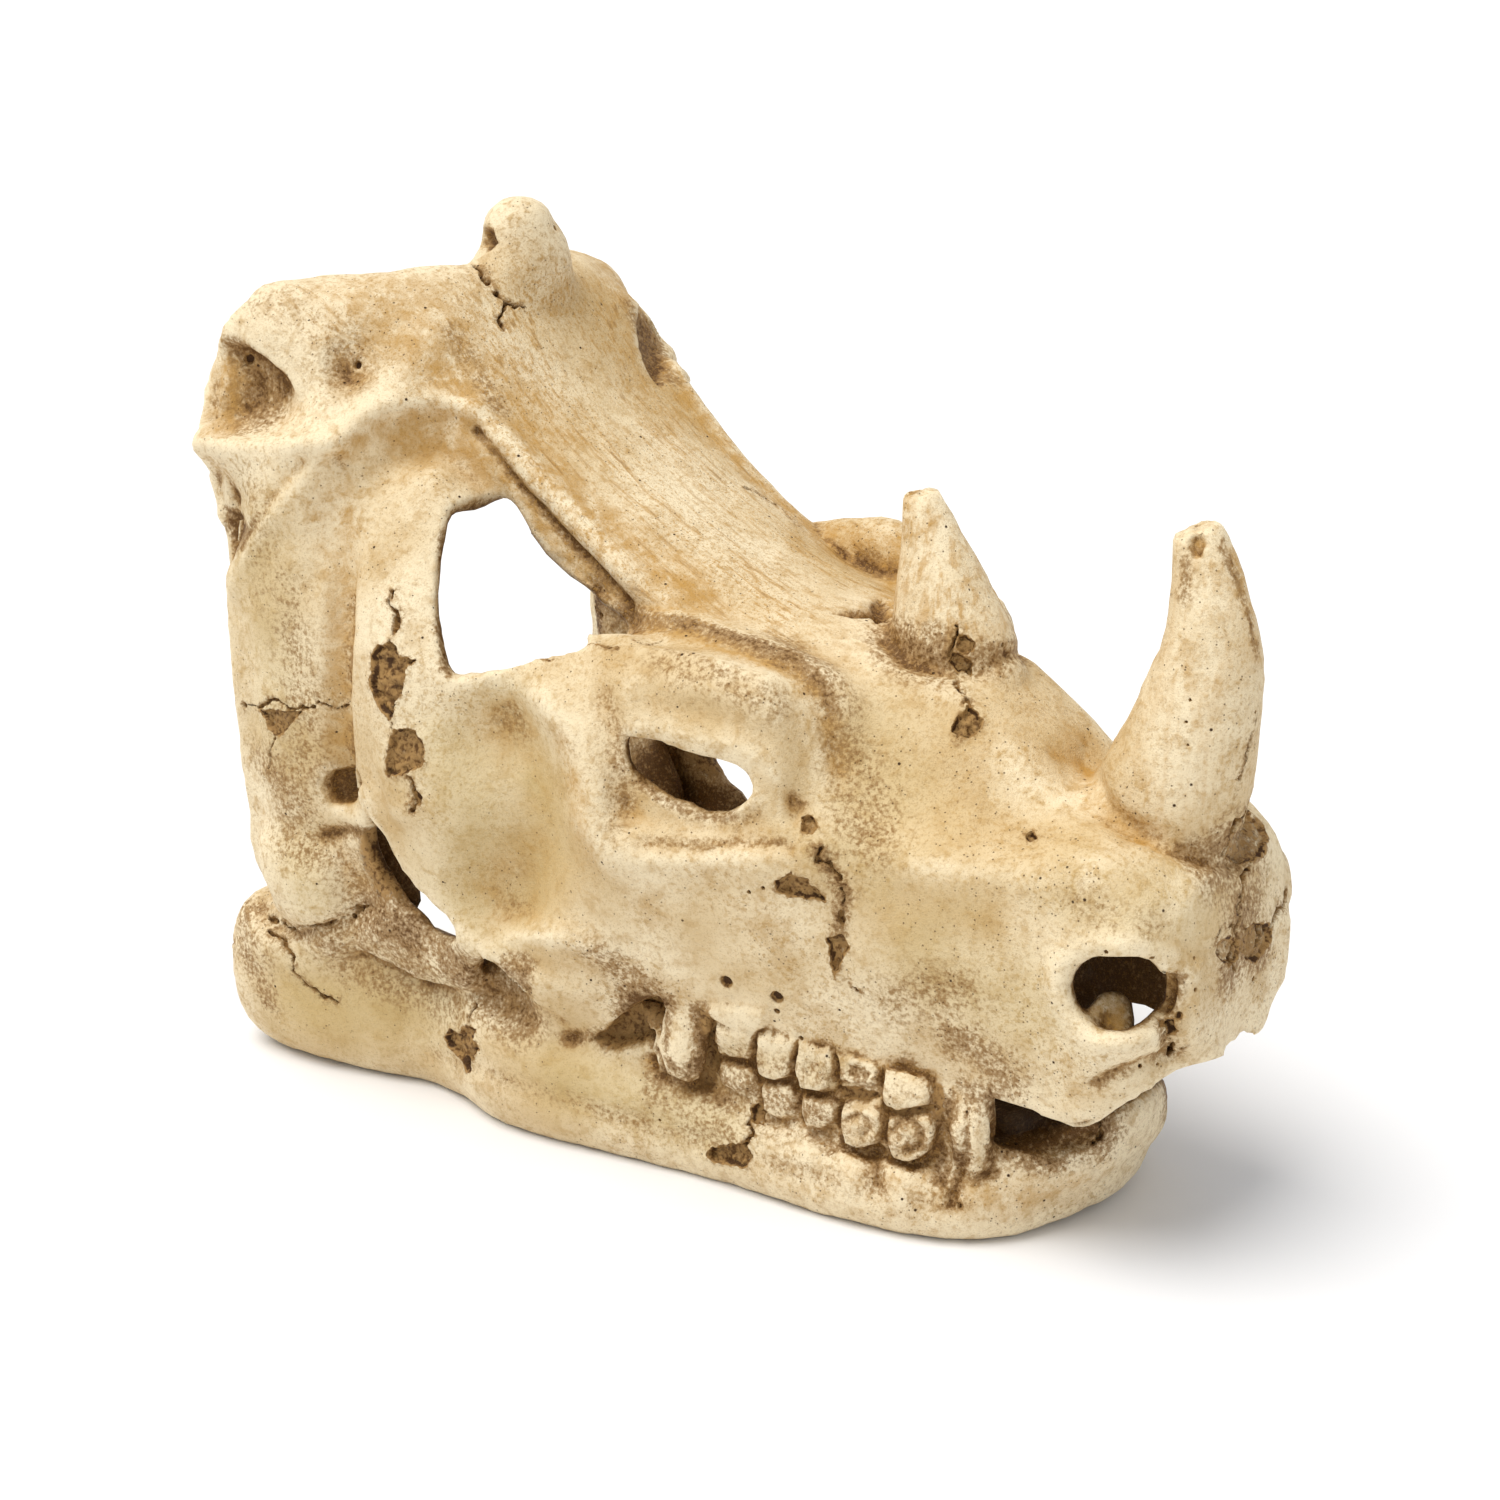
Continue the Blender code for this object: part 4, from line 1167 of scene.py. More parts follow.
@dataclass(frozen=True)
class Forms:
    """Forms that the fused body lacks: softened stretches, then broad forms, then finer ones on top.

    Each row is a mark's measures and then its path, in the photo's pixels unless another view is named.
    """

    softened: tuple[Mark, ...] = marks(
        Softening,
        (5, 1, 640, 612, 690, 625, 730, 640, 792, 667, 820, 692, 842, 770),
        (5, 1, 598, 690, 596, 740, 598, 800, 602, 850), (4, 0.7, 610, 860, 700, 858, 800, 870),
        (4, 1, 575, 600, 590, 625, 604, 644), (5, 1, 355, 905, 400, 950, 450, 985, 482, 1002),
        (3, 1, 1178, 1056, 1145, 1062, 1118, 1073), (6.5, 1, 425, 938, 465, 972, 500, 1002, 540, 1030),
        (3.5, 1, 227, 356, 226, 400, 226, 436), (5, 1, 1076, 730, 1080, 755, 1086, 785),
        (6.5, 1, 276, 366, 292, 384, 298, 404, 288, 428, 266, 442),
        (5, 1, 352, 480, 351, 560, 350, 620, 347, 680, 345, 745), (7, 0.9, 520, 250, 555, 285, 600, 305),
        (6, 1, 1060, 1215, 1120, 1190, 1155, 1150, 1165, 1110),
    ) + marks(
        Softening,
        (8, 1, 505, 300, 530, 290, 556, 276, 572, 262),
        twin=False,
    ) + marks(
        Softening,
        (8, 0.8, -8, 178, -14, 172, -20, 166),
        view=BACK,
    )  # fmt: skip
    broad: tuple[Mark, ...] = marks(
        Hollow,
        # wing
        (1.2, 7, 0.45, 230, 340, 249, 346, 269, 361, 284, 372, 291, 384, 296, 402, 287, 425, 264, 440, 225,
         446, 202, 420, 208, 395, 212, 365),
        (0.9, 2, 0.9, 221, 503, 243, 512, 248, 530, 238, 550, 224, 530),
        # pillar and bar
        (3.4, 2.6, 1, 319, 783, 333, 771, 355, 768, 364, 783, 354, 802, 330, 805),
        # cheek
        (0.8, 3, 0.5, 462, 992, 474, 965, 497, 952, 525, 950, 541, 962, 538, 990, 526, 1012, 500, 1024),
        (0.6, 3, 0.3, 552, 1036, 566, 1028, 587, 1032, 584, 1048, 560, 1050),
        # side of the snout
        (1.8, 1.8, 1, 869, 604, 880, 598, 890, 606, 888, 622, 874, 624),
        # pit behind the jaw's lip
        (2.2, 3, 0.8, 990, 1118, 1020, 1116, 1060, 1122, 1098, 1120, 1106, 1135, 1085, 1150, 1050, 1158, 1015,
         1150, 992, 1140),
    ) + marks(
        Groove,
        # wing
        (3, 1.6, 0.95, 232, 352, 250, 356, 266, 368, 280, 384), (8, 2.2, 0.25, 310, 320, 345, 348, 352, 372),
        # shelf of the temple and the wing beside it
        (1.4, 1.5, 0.6, 476, 432, 486, 442, 500, 460, 518, 484, 548, 516, 574, 546, 604, 575, 628, 606),
        (1.6, 1.1, 0.5, 304, 458, 276, 489, 249, 527, 235, 554),
        # pillar and bar
        (7.5, 1.6, 0.42, 300, 850, 330, 868, 352, 888),
        (1.8, 1.3, 0.8, 258, 902, 272, 925, 300, 933, 340, 925, 368, 910),
        (5, -1.3, 0, 250, 912, 268, 945, 305, 955, 350, 945, 385, 930),
        (12, 0.8, 0, 300, 985, 360, 990, 420, 1000), (1.8, 1.2, 0.8, 322, 836, 345, 832, 368, 834),
        # cheek
        (9, 1.2, 0, 470, 740, 500, 830, 480, 880), (3.4, 0.9, 0.3, 604, 700, 618, 740, 622, 790, 616, 830),
        (3.4, 1, 0.7, 440, 947, 478, 982, 508, 1006, 530, 1020),
        (1.8, 0.7, 0.5, 575, 1036, 604, 1036, 622, 1028),
        # its full brown tint is painted shade in the gap round the rear tooth's left and lower side
        (1, 1.6, 1, 654, 1012, 654, 1045, 664, 1076, 688, 1087, 706, 1080),
        # orbit, its brow and the ridge below it
        (2.2, 0.8, 0.4, 640, 785, 665, 808, 695, 824, 725, 826, 755, 815),
        (1.8, 0.3, 0.42, 600, 612, 640, 624, 690, 626, 730, 640, 770, 656, 800, 670, 818, 690),
        # its faint brown tint is painted shade under the brow's overhang
        (4, 1.2, 0.12, 650, 706, 690, 710, 730, 720, 760, 733),
        # side of the snout
        (9, 1.6, 0.3, 850, 770, 868, 800, 880, 830),
        (1.9, 1.3, 0.5, 885, 640, 905, 662, 940, 671, 980, 671, 1010, 655),
        (1.4, 0.8, 0.55, 958, 1174, 975, 1180, 992, 1172),
        # nostril and the crease below it
        (1.8, 1.6, 0.85, 1174, 978, 1168, 1005, 1165, 1030, 1170, 1052),
        (1.6, 1.3, 0.55, 1178, 1056, 1145, 1062, 1118, 1073, 1095, 1085),
        # underside edge of the jaw
        (3, 0.7, 0.25, 430, 1058, 470, 1066, 520, 1085, 600, 1112, 700, 1140, 780, 1166, 860, 1186, 950,
         1205),
    ) + marks(
        Groove,
        # shelf of the temple and the wing beside it
        (4, -0.7, 0.5, 480, 420, 500, 440, 514, 455, 540, 485, 570, 515, 600, 548, 631, 575),
        (3.2, 1.3, 0.8, 340, 458, 353, 441, 374, 428, 398, 424, 432, 415, 472, 424),
        # pillar and bar
        (4.5, 1.1, 0.6, 338, 480, 342, 520, 344, 580, 344, 640, 342, 700, 342, 750),
        # cheek
        (3, 0.3, 0.5, 560, 745, 574, 790, 578, 840),
        # orbit, its brow and the ridge below it
        (1.6, 0.9, 0.45, 640, 845, 693, 848, 738, 843, 790, 847),
        (3, 0.7, 0.9, 616, 624, 652, 629, 685, 629, 716, 641, 754, 657, 782, 663, 804, 677, 818, 696, 827,
         716, 834, 741, 838, 770),
        # side of the snout
        (2, 1.3, 0.3, 1094, 770, 1098, 790, 1109, 809, 1136, 830, 1170, 849, 1205, 861, 1235, 866),
        (1.6, 0.5, 0.8, 1088, 738, 1085, 758, 1088, 782),
        coat=OCHRE,
    ) + marks(
        Groove,
        # shelf of the temple and the wing beside it
        (2.6, -0.9, 0.6, 345, 437, 366, 412, 398, 400, 438, 399, 476, 408),
        (2.2, -1.2, 0.4, 200, 440, 240, 446, 290, 446, 330, 447),
        (1.8, -1, 0.4, 215, 345, 232, 340, 250, 344, 271, 358, 288, 370, 300, 388),
        # cheek
        (4.5, -0.9, 0.35, 545, 700, 580, 735, 602, 780, 606, 830),
        (3.4, -1.3, 0.35, 372, 800, 385, 850, 410, 893, 445, 922, 490, 955, 540, 980, 590, 992),
        (2.4, -1, 0.3, 505, 938, 535, 934, 570, 938, 600, 952),
        # orbit, its brow and the ridge below it
        (2.4, -0.8, 0.4, 625, 762, 628, 735, 645, 722, 672, 730, 700, 738, 730, 744, 760, 756, 775, 775),
        (4.5, -0.8, 0.4, 610, 860, 640, 862, 671, 862, 704, 857, 732, 856, 766, 861, 791, 869, 807, 876),
        (2.8, -0.9, 0.6, 770, 678, 794, 690, 808, 710, 817, 740, 821, 775, 820, 808, 815, 838),
        # side of the snout
        (5.5, -1, 0.15, 820, 868, 880, 868, 960, 872, 1030, 868, 1085, 862),
        # nostril and the crease below it
        (2.4, -1.5, 0.7, 1062, 960, 1058, 985, 1068, 1010, 1092, 1034, 1122, 1044, 1150, 1038, 1168, 1022),
        (2, -0.8, 0.5, 1090, 944, 1128, 941, 1160, 952, 1178, 972),
        (3, -1.3, 0.4, 1190, 980, 1196, 1005, 1190, 1035),
        coat=PALE,
    ) + marks(
        Groove,
        # cheek
        # its olive tint is painted shade in the cheek's bowl
        (9.5, 3, 0.7, 505, 720, 532, 780, 535, 840, 515, 895),
        coat=OLIVE,
    ) + marks(
        Hollow,
        # cheek
        # the near-black fill of these two pits, on either side of the rear tooth, is painted shade
        (4.5, 1.8, 0.8, 590, 1040, 610, 1027, 635, 1006, 658, 997, 664, 1010, 658, 1035, 642, 1048, 612,
         1050),
        (3, 1, 0.9, 708, 1014, 716, 1022, 720, 1040, 718, 1066, 708, 1080, 700, 1082, 708, 1062, 711, 1045),
        coat=FILL,
    ) + marks(
        Hollow,
        # orbit, its brow and the ridge below it
        (1, 2.5, 0.8, 782, 792, 796, 788, 810, 800, 808, 820, 794, 828, 782, 815),
        coat=OCHRE,
    ) + marks(
        Hollow,
        # knob and far wing
        (3, 2, 1, 479, 228, 492, 229, 498, 244, 487, 252, 477, 242),
        (2.4, 2.5, 0.85, 640, 305, 655, 314, 667, 337, 671, 368, 662, 388, 650, 376, 641, 350, 637, 322),
        twin=False,
    ) + marks(
        Groove,
        # back wall
        (3.2, -1.6, 0.2, 0, 174, 1, 160, 0, 146, 0, 138),
        coat=PALE, view=BACK, twin=False,
    ) + marks(
        Hollow,
        # back wall
        (2.2, 4.5, 0.4, 8, 166, 20, 164, 27, 154, 22, 143, 11, 143, 6, 153),
        coat=OCHRE, view=BACK,
    ) + marks(
        Hollow,
        # back wall
        (1.8, 4, 0.3, 34, 160, 44, 158, 47, 146, 40, 138, 33, 146),
        view=BACK,
    ) + marks(
        Groove,
        # back wall
        (2.6, -1, 0.3, 5, 136, 16, 137, 28, 133, 38, 130, 46, 124),
        coat=PALE, view=BACK,
    ) + marks(
        Groove,
        # back wall
        (4, 1, 0.2, 50, 118, 54, 100, 53, 80, 56, 60), (2, 1, 0.6, 46, 44, 54, 47, 62, 43),
        view=BACK,
    )  # fmt: skip
    fine: tuple[Mark, ...] = marks(
        Hollow,
        # upper cheek teeth
        (-1.7, 1.2, 0.2, 718, 1022, 738, 1026, 757, 1029, 758, 1048, 754, 1059, 737, 1058, 720, 1052),
        (-2, 1.2, 0.2, 760, 1030, 778, 1034, 798, 1038, 797, 1058, 792, 1076, 778, 1079, 762, 1075, 757,
         1059),
        (-2, 1.1, 0.25, 800, 1040, 835, 1048, 838, 1068, 832, 1086, 822, 1091, 802, 1087, 797, 1068),
        (-2.4, 1, 0.35, 887, 1068, 911, 1071, 933, 1077, 932, 1103, 916, 1106, 899, 1108, 884, 1099),
        # lip of the upper jaw
        (-1.4, 1.5, 0.9, 696, 1006, 716, 1003, 740, 1004, 766, 1009, 772, 1022, 758, 1031, 737, 1029, 714,
         1019),
        # tusk and the stump beside it
        (-0.9, 1.3, 1, 951, 1122, 964, 1119, 964, 1154, 952, 1150),
        coat=PALE,
    ) + marks(
        Hollow,
        # upper cheek teeth
        (0.5, 1, 0.3, 808, 1058, 824, 1060, 825, 1078, 813, 1080, 806, 1070),
        (-1.2, 1.2, 0, 839, 1052, 858, 1056, 882, 1064, 878, 1082, 860, 1085, 840, 1080),
        (0.9, 0.8, 0.6, 848, 1062, 862, 1064, 876, 1074, 866, 1081, 850, 1076),
        # lower cheek teeth
        (-1, 1.3, 0.22, 721, 1060, 752, 1064, 759, 1077, 754, 1090, 740, 1094, 725, 1086, 718, 1072),
        (-1.1, 1.3, 0.2, 763, 1080, 790, 1082, 799, 1096, 796, 1113, 781, 1119, 765, 1111, 759, 1094),
        (-1.2, 1.3, 0.2, 803, 1094, 829, 1096, 840, 1106, 838, 1121, 825, 1128, 807, 1124, 800, 1108),
    ) + marks(
        Hollow,
        # lower cheek teeth
        (-2, 1.5, 0.3, 843, 1106, 870, 1103, 885, 1109, 887, 1128, 878, 1143, 863, 1149, 846, 1142, 840,
         1124),
        (-2.2, 1.5, 0.45, 890, 1113, 905, 1110, 933, 1110, 939, 1127, 932, 1150, 914, 1160, 896, 1155, 886,
         1136),
        coat=OCHRE,
    ) + marks(
        Hollow,
        # lower cheek teeth
        (1.6, 1, 0.7, 836, 1086, 858, 1087, 878, 1092, 880, 1100, 858, 1102, 840, 1100),
        coat=FILL,
    ) + marks(
        Groove,
        # gaps between the teeth
        (0.7, 0.9, 0.7, 720, 1057, 738, 1062, 757, 1064), (0.7, 0.9, 0.7, 760, 1079, 776, 1083, 794, 1080),
        (0.7, 1, 0.9, 798, 1090, 810, 1093, 823, 1096, 838, 1091),
        (0.6, 1.1, 0.55, 756, 1042, 758, 1060, 760, 1078), (0.6, 1.1, 0.6, 798, 1052, 796, 1068, 798, 1088),
        (0.6, 1, 0.6, 838, 1060, 840, 1072, 838, 1088), (0.8, 0.9, 0.65, 760, 1078, 760, 1092, 763, 1112),
        (0.8, 0.9, 0.65, 799, 1088, 800, 1104, 804, 1124), (0.8, 1.1, 0.9, 840, 1102, 840, 1120, 844, 1144),
        (0.8, 1.2, 0.95, 883, 1074, 884, 1090, 886, 1104, 889, 1118, 889, 1140, 894, 1156),
        (1.2, 0.5, 0.5, 720, 1086, 740, 1098, 758, 1095, 768, 1116, 784, 1123, 800, 1119, 810, 1130, 826,
         1133, 840, 1129),
        (1, 0.7, 0.8, 846, 1148, 864, 1155, 882, 1149, 894, 1161, 914, 1166, 934, 1155, 944, 1128, 940, 1100),
        # whorls of the front lower teeth
        (0.7, 0.7, 0.6, 850, 1116, 860, 1111, 871, 1115, 873, 1126, 866, 1131),
        (0.8, 0.9, 0.85, 897, 1126, 903, 1117, 915, 1116, 924, 1126, 922, 1140, 911, 1146),
        # tusk and the stump beside it
        (0.9, 0.7, 0.7, 966, 1108, 966, 1130, 968, 1164),
        # roots under the jaw's edge
        (2, 0.8, 0.75, 874, 1152, 876, 1184), (2.2, 0.9, 0.8, 938, 1150, 942, 1182),
        (1.8, 0.6, 0.5, 829, 1130, 831, 1150), (1.2, 1, 0.9, 962, 1160, 958, 1182, 950, 1205),
    ) + marks(
        Groove,
        # gaps between the teeth
        (0.7, 1, 0.6, 886, 1108, 905, 1111, 934, 1108),
        coat=FILL,
    ) + marks(
        Groove,
        # whorls of the front lower teeth
        # the pale tint of the whorls' raised middles is painted highlight
        (0.6, -0.5, 0.7, 858, 1122, 864, 1124), (0.6, -0.7, 0.9, 906, 1126, 913, 1131, 908, 1138, 901, 1140),
        # roots under the jaw's edge
        (2.8, -0.9, 0.7, 808, 1132, 810, 1152), (2.8, -1, 0.8, 850, 1152, 852, 1180),
        (3.2, -1, 0.7, 898, 1166, 902, 1196),
        # folds of the brow
        (1.6, -0.6, 0.3, 640, 650, 690, 655, 730, 668, 765, 684),
        coat=PALE,
    ) + marks(
        Hollow,
        # broken tip of the nasal horn
        (1.6, 0.8, 1, 1188, 540, 1194, 532, 1204, 532, 1208, 543, 1202, 556, 1192, 556, 1187, 550),
        coat=OCHRE, twin=False,
    ) + marks(
        Groove,
        # folds of the brow
        (1.4, 0.6, 0.5, 560, 560, 600, 590, 640, 606, 690, 606),
        coat=OCHRE,
    )  # fmt: skip


@dataclass(frozen=True)
class WearAndPaintedLight:
    """Cracks, chips, bubbles and broken tips, those of the photographed side first, and the stains, among
    which are patches of painted shade and painted highlight.
    """

    cracks: tuple[Mark, ...] = marks(
        Crack,
        (0.8, 1.8, 469, 259, 480, 271, 484, 281, 496, 290, 505, 302, 524, 308),
        (0.6, 1.4, 505, 302, 500, 316, 503, 329),
        (0.7, 1.6, 392, 592, 390, 606, 396, 618, 397, 629, 392, 641),
        (0.6, 1.4, 404, 682, 400, 696, 392, 706, 390, 722, 392, 732),
        (0.7, 1.2, 411, 779, 414, 791, 419, 806, 411, 810),
        (0.6, 1.2, 242, 706, 261, 707, 276, 698, 290, 708, 311, 706, 318, 703, 335, 706, 350, 703),
        (0.5, 1, 274, 737, 271, 751, 269, 772), (0.8, 1.2, 269, 917, 293, 927, 328, 923, 352, 917, 369, 903),
        (0.8, 1.4, 269, 930, 281, 941, 293, 958, 293, 972, 309, 986, 321, 996, 338, 1003),
        (0.6, 1.2, 476, 1003, 469, 1020, 471, 1034, 474, 1061),
        (0.6, 1.2, 822, 847, 816, 860, 832, 868, 841, 879, 845, 893, 843, 910, 841, 921),
        (0.5, 1, 849, 977, 853, 985, 857, 992), (0.6, 1.3, 955, 623, 956, 633, 953, 644, 952, 654, 947, 670),
        (0.5, 1.1, 957, 675, 956, 684, 960, 691, 967, 696), (0.5, 1, 965, 699, 968, 707),
        (0.5, 1, 958, 737, 957, 749),
        (0.9, 1.6, 1256, 770, 1253, 784, 1249, 800, 1244, 812, 1236, 826, 1228, 840, 1222, 856),
        (0.8, 1.5, 1250, 864, 1244, 876, 1242, 890, 1238, 904, 1240, 918, 1234, 930, 1236, 944, 1230, 958,
         1236, 968),
        (0.6, 1.2, 1216, 936, 1222, 926, 1232, 924),
        (0.8, 1.6, 1286, 892, 1284, 904, 1276, 912, 1272, 924, 1266, 934),
        (0.7, 1.3, 1263, 925, 1263, 938, 1258, 948),
        (0.8, 1.6, 1160, 1018, 1166, 1030, 1170, 1042, 1170, 1052),
        (0.45, 0.9, 1258, 706, 1254, 728, 1247, 750, 1240, 776),
        (0.6, 1.2, 1168, 1056, 1178, 1048, 1186, 1044),
        (0.7, 1.4, 757, 1103, 750, 1122, 752, 1136, 743, 1146), (0.6, 1.2, 945, 1182, 950, 1192, 957, 1206),
        (0.35, 0.7, 630, 640, 648, 646, 662, 642), (0.7, 1.2, 1098, 1122, 1102, 1132, 1094, 1142),
        twin=False,
    ) + marks(
        Crack,
        (0.6, 1.2, -97, 112, -90, 114, -82, 111, -75, 113), (0.6, 1.2, -90, 70, -86, 62, -89, 55),
        (0.6, 1.2, 18, 66, 22, 58, 20, 50, 24, 44), (0.7, 1.4, 66, 92, 70, 84, 67, 77),
        (0.7, 1.5, -55, 108, -52, 100, -54, 95), (0.6, 1.2, -14, 60, -10, 54, -13, 49),
        (0.7, 1.3, 40, 30, 43, 22, 40, 14), (0.7, 1.3, -92, 34, -84, 30, -78, 22),
        view=FAR, twin=False,
    ) + marks(
        Crack,
        (0.7, 1.4, 16, 168, 20, 160, 17, 153, 21, 146), (0.6, 1.2, -34, 150, -30, 143, -33, 137),
        (0.6, 1.2, 50, 100, 53, 92, 50, 84),
        view=BACK, twin=False,
    ) + marks(
        Crack,
        (0.6, 1.2, -20, 18, -14, 24, -8, 21),
        view=TOP, twin=False,
    )  # fmt: skip
    chips: tuple[Mark, ...] = marks(
        Chip,
        (1.1, 0.97, 371, 654, 378, 646, 392, 641, 397, 649, 399, 658, 416, 660, 406, 668, 404, 682, 400, 696,
         392, 706, 390, 720, 383, 711, 374, 696, 369, 684, 373, 668),
        (1, 0.9, 392, 732, 404, 728, 416, 732, 423, 744, 425, 761, 421, 768, 411, 770, 397, 775, 388, 775,
         387, 758, 389, 744),
        (0.9, 0.8, 261, 710, 285, 711, 304, 711, 293, 723, 280, 737, 271, 730),
        (1, 0.95, 445, 1037, 452, 1030, 460, 1034, 466, 1025, 475, 1030, 472, 1040, 478, 1050, 472, 1058, 469,
         1072, 463, 1061, 456, 1054, 450, 1047),
        (0.9, 0.8, 776, 884, 791, 874, 807, 881, 818, 891, 827, 902, 810, 899, 788, 896, 777, 891),
        (0.9, 0.8, 827, 938, 841, 935, 849, 946, 843, 960, 835, 977, 831, 960),
        (0.9, 0.8, 958, 636, 966, 635, 974, 642, 973, 652, 966, 655, 958, 650),
        (0.8, 0.8, 952, 653, 964, 656, 973, 664, 970, 674, 958, 672, 950, 664),
        (1, 0.8, 968, 707, 976, 712, 983, 720, 978, 733, 965, 738, 951, 730, 957, 717),
        (0.7, 0.8, 1026, 834, 1034, 832, 1036, 838, 1029, 842),
        (0.6, 0.45, 1224, 858, 1228, 842, 1238, 828, 1246, 812, 1252, 818, 1262, 826, 1266, 842, 1262, 858,
         1248, 862, 1236, 864),
        (0.7, 0.5, 1246, 930, 1256, 922, 1270, 924, 1272, 938, 1266, 952, 1256, 962, 1244, 958, 1240, 944),
        (0.4, 0.3, 1218, 942, 1228, 936, 1238, 942, 1238, 958, 1228, 966, 1216, 958),
        (1.3, 0.8, 706, 1154, 716, 1146, 734, 1143, 746, 1145, 753, 1156, 746, 1167, 731, 1164, 716, 1162),
        (0.7, 0.5, 752, 1108, 760, 1104, 767, 1112, 762, 1124, 752, 1122),
        (0.9, 0.8, 803, 819, 812, 817, 817, 826, 812, 835, 803, 832),
        (0.6, 0.8, 909, 488, 914, 486, 919, 488, 916, 492, 910, 492),
        (1.2, 0.9, 1166, 1018, 1174, 1020, 1176, 1032, 1168, 1034),
        twin=False,
    ) + marks(
        Chip,
        (1, 0.8, -55, 95, -51, 97, -48, 92, -49, 85, -53, 84, -56, 89),
        (0.9, 0.8, 60, 76, 66, 77, 69, 72, 65, 68, 60, 70), (0.9, 0.8, -89, 55, -84, 56, -83, 51, -88, 50),
        (1.1, 0.8, 34, 14, 40, 15, 43, 11, 38, 8, 33, 10), (0.8, 0.8, 88, 44, 93, 46, 95, 42, 90, 39),
        view=FAR, twin=False,
    ) + marks(
        Chip,
        (0.9, 0.55, 14, 144, 17, 148, 20, 146, 24, 147, 23, 143, 26, 139, 21, 139, 18, 135, 17, 140, 13, 140),
        (0.8, 0.55, -53, 119, -51, 122, -48, 121, -46, 124, -45, 119, -47, 116, -45, 112, -49, 113, -50, 108,
         -52, 114),
        (0.8, 0.55, -59, 25, -57, 28, -55, 27, -53, 31, -52, 26, -50, 23, -53, 22, -54, 17, -56, 21),
        view=BACK, twin=False,
    )  # fmt: skip
    bubbles: tuple[Mark, ...] = marks(
        Bubble,
        (1.7, 0.9, 1, 726, 982), (1.7, 1, 1, 777, 997), (0.8, 0.7, 0, 777, 1011), (0.6, 0.9, 0, 801, 1038),
        (0.6, 0.8, 0, 1249, 869), (0.7, 0.9, 0, 1254, 979), (1.5, 1, 1, 249, 359), (1.1, 0.9, 1, 358, 365),
        (0.8, 0.9, 0, 555, 228), (1, 0.8, 1, 1179, 1016), (0.5, 0.7, 0, 1196, 990), (0.4, 0.6, 0, 1194, 958),
        (0.7, 0.9, 0, 1170, 1047), (0.6, 0.9, 0, 1003, 645), (0.6, 0.9, 0, 842, 1141),
        (0.5, 0.8, 0, 878, 1138), (0.6, 0.9, 0, 914, 1161), (0.5, 0.7, 0, 763, 888), (0.5, 0.7, 0, 749, 892),
        (0.4, 0.6, 0, 1085, 780), (0.4, 0.6, 0, 1087, 787), (0.35, 0.5, 0, 1190, 700),
        (0.35, 0.5, 0, 1186, 722), (0.3, 0.5, 0, 1188, 745), (0.35, 0.5, 0, 1255, 712),
        (0.4, 0.6, 0, 843, 1120), (0.4, 0.5, 0, 660, 1120), (0.5, 0.6, 0, 1140, 1066),
        (0.4, 0.6, 0, 1158, 1064), (0.6, 0.8, 0, 1086, 966), (0.5, 0.7, 0, 1106, 952),
        (0.6, 0.8, 0, 1152, 958),
        twin=False,
    ) + marks(
        Bubble,
        (1.5, 0.9, 1, 48, 58), (1, 0.9, 0, 30, 46), (0.6, 0.8, 0, 78, 70), (0.7, 0.8, 0, -30, 40),
        (0.8, 0.8, 1, -86, 90), (0.7, 0.8, 0, -70, 16), (0.5, 0.7, 0, 8, 24),
        view=FAR, twin=False,
    ) + marks(
        Bubble,
        (1.2, 0.9, 1, -12, 158), (0.7, 0.8, 0, 30, 152), (0.6, 0.8, 0, 46, 140), (0.8, 0.8, 0, -55, 70),
        (0.7, 0.8, 0, 56, 30),
        view=BACK, twin=False,
    )  # fmt: skip
    breaks: tuple[Break, ...] = (
        Break((103.2, 0.0, 143.4), (-0.3, -0.25, 0.92), 11.0),
        Break((40.5, 0.0, 142.0), (-0.1, -0.1, 0.98), 9.0),
    )
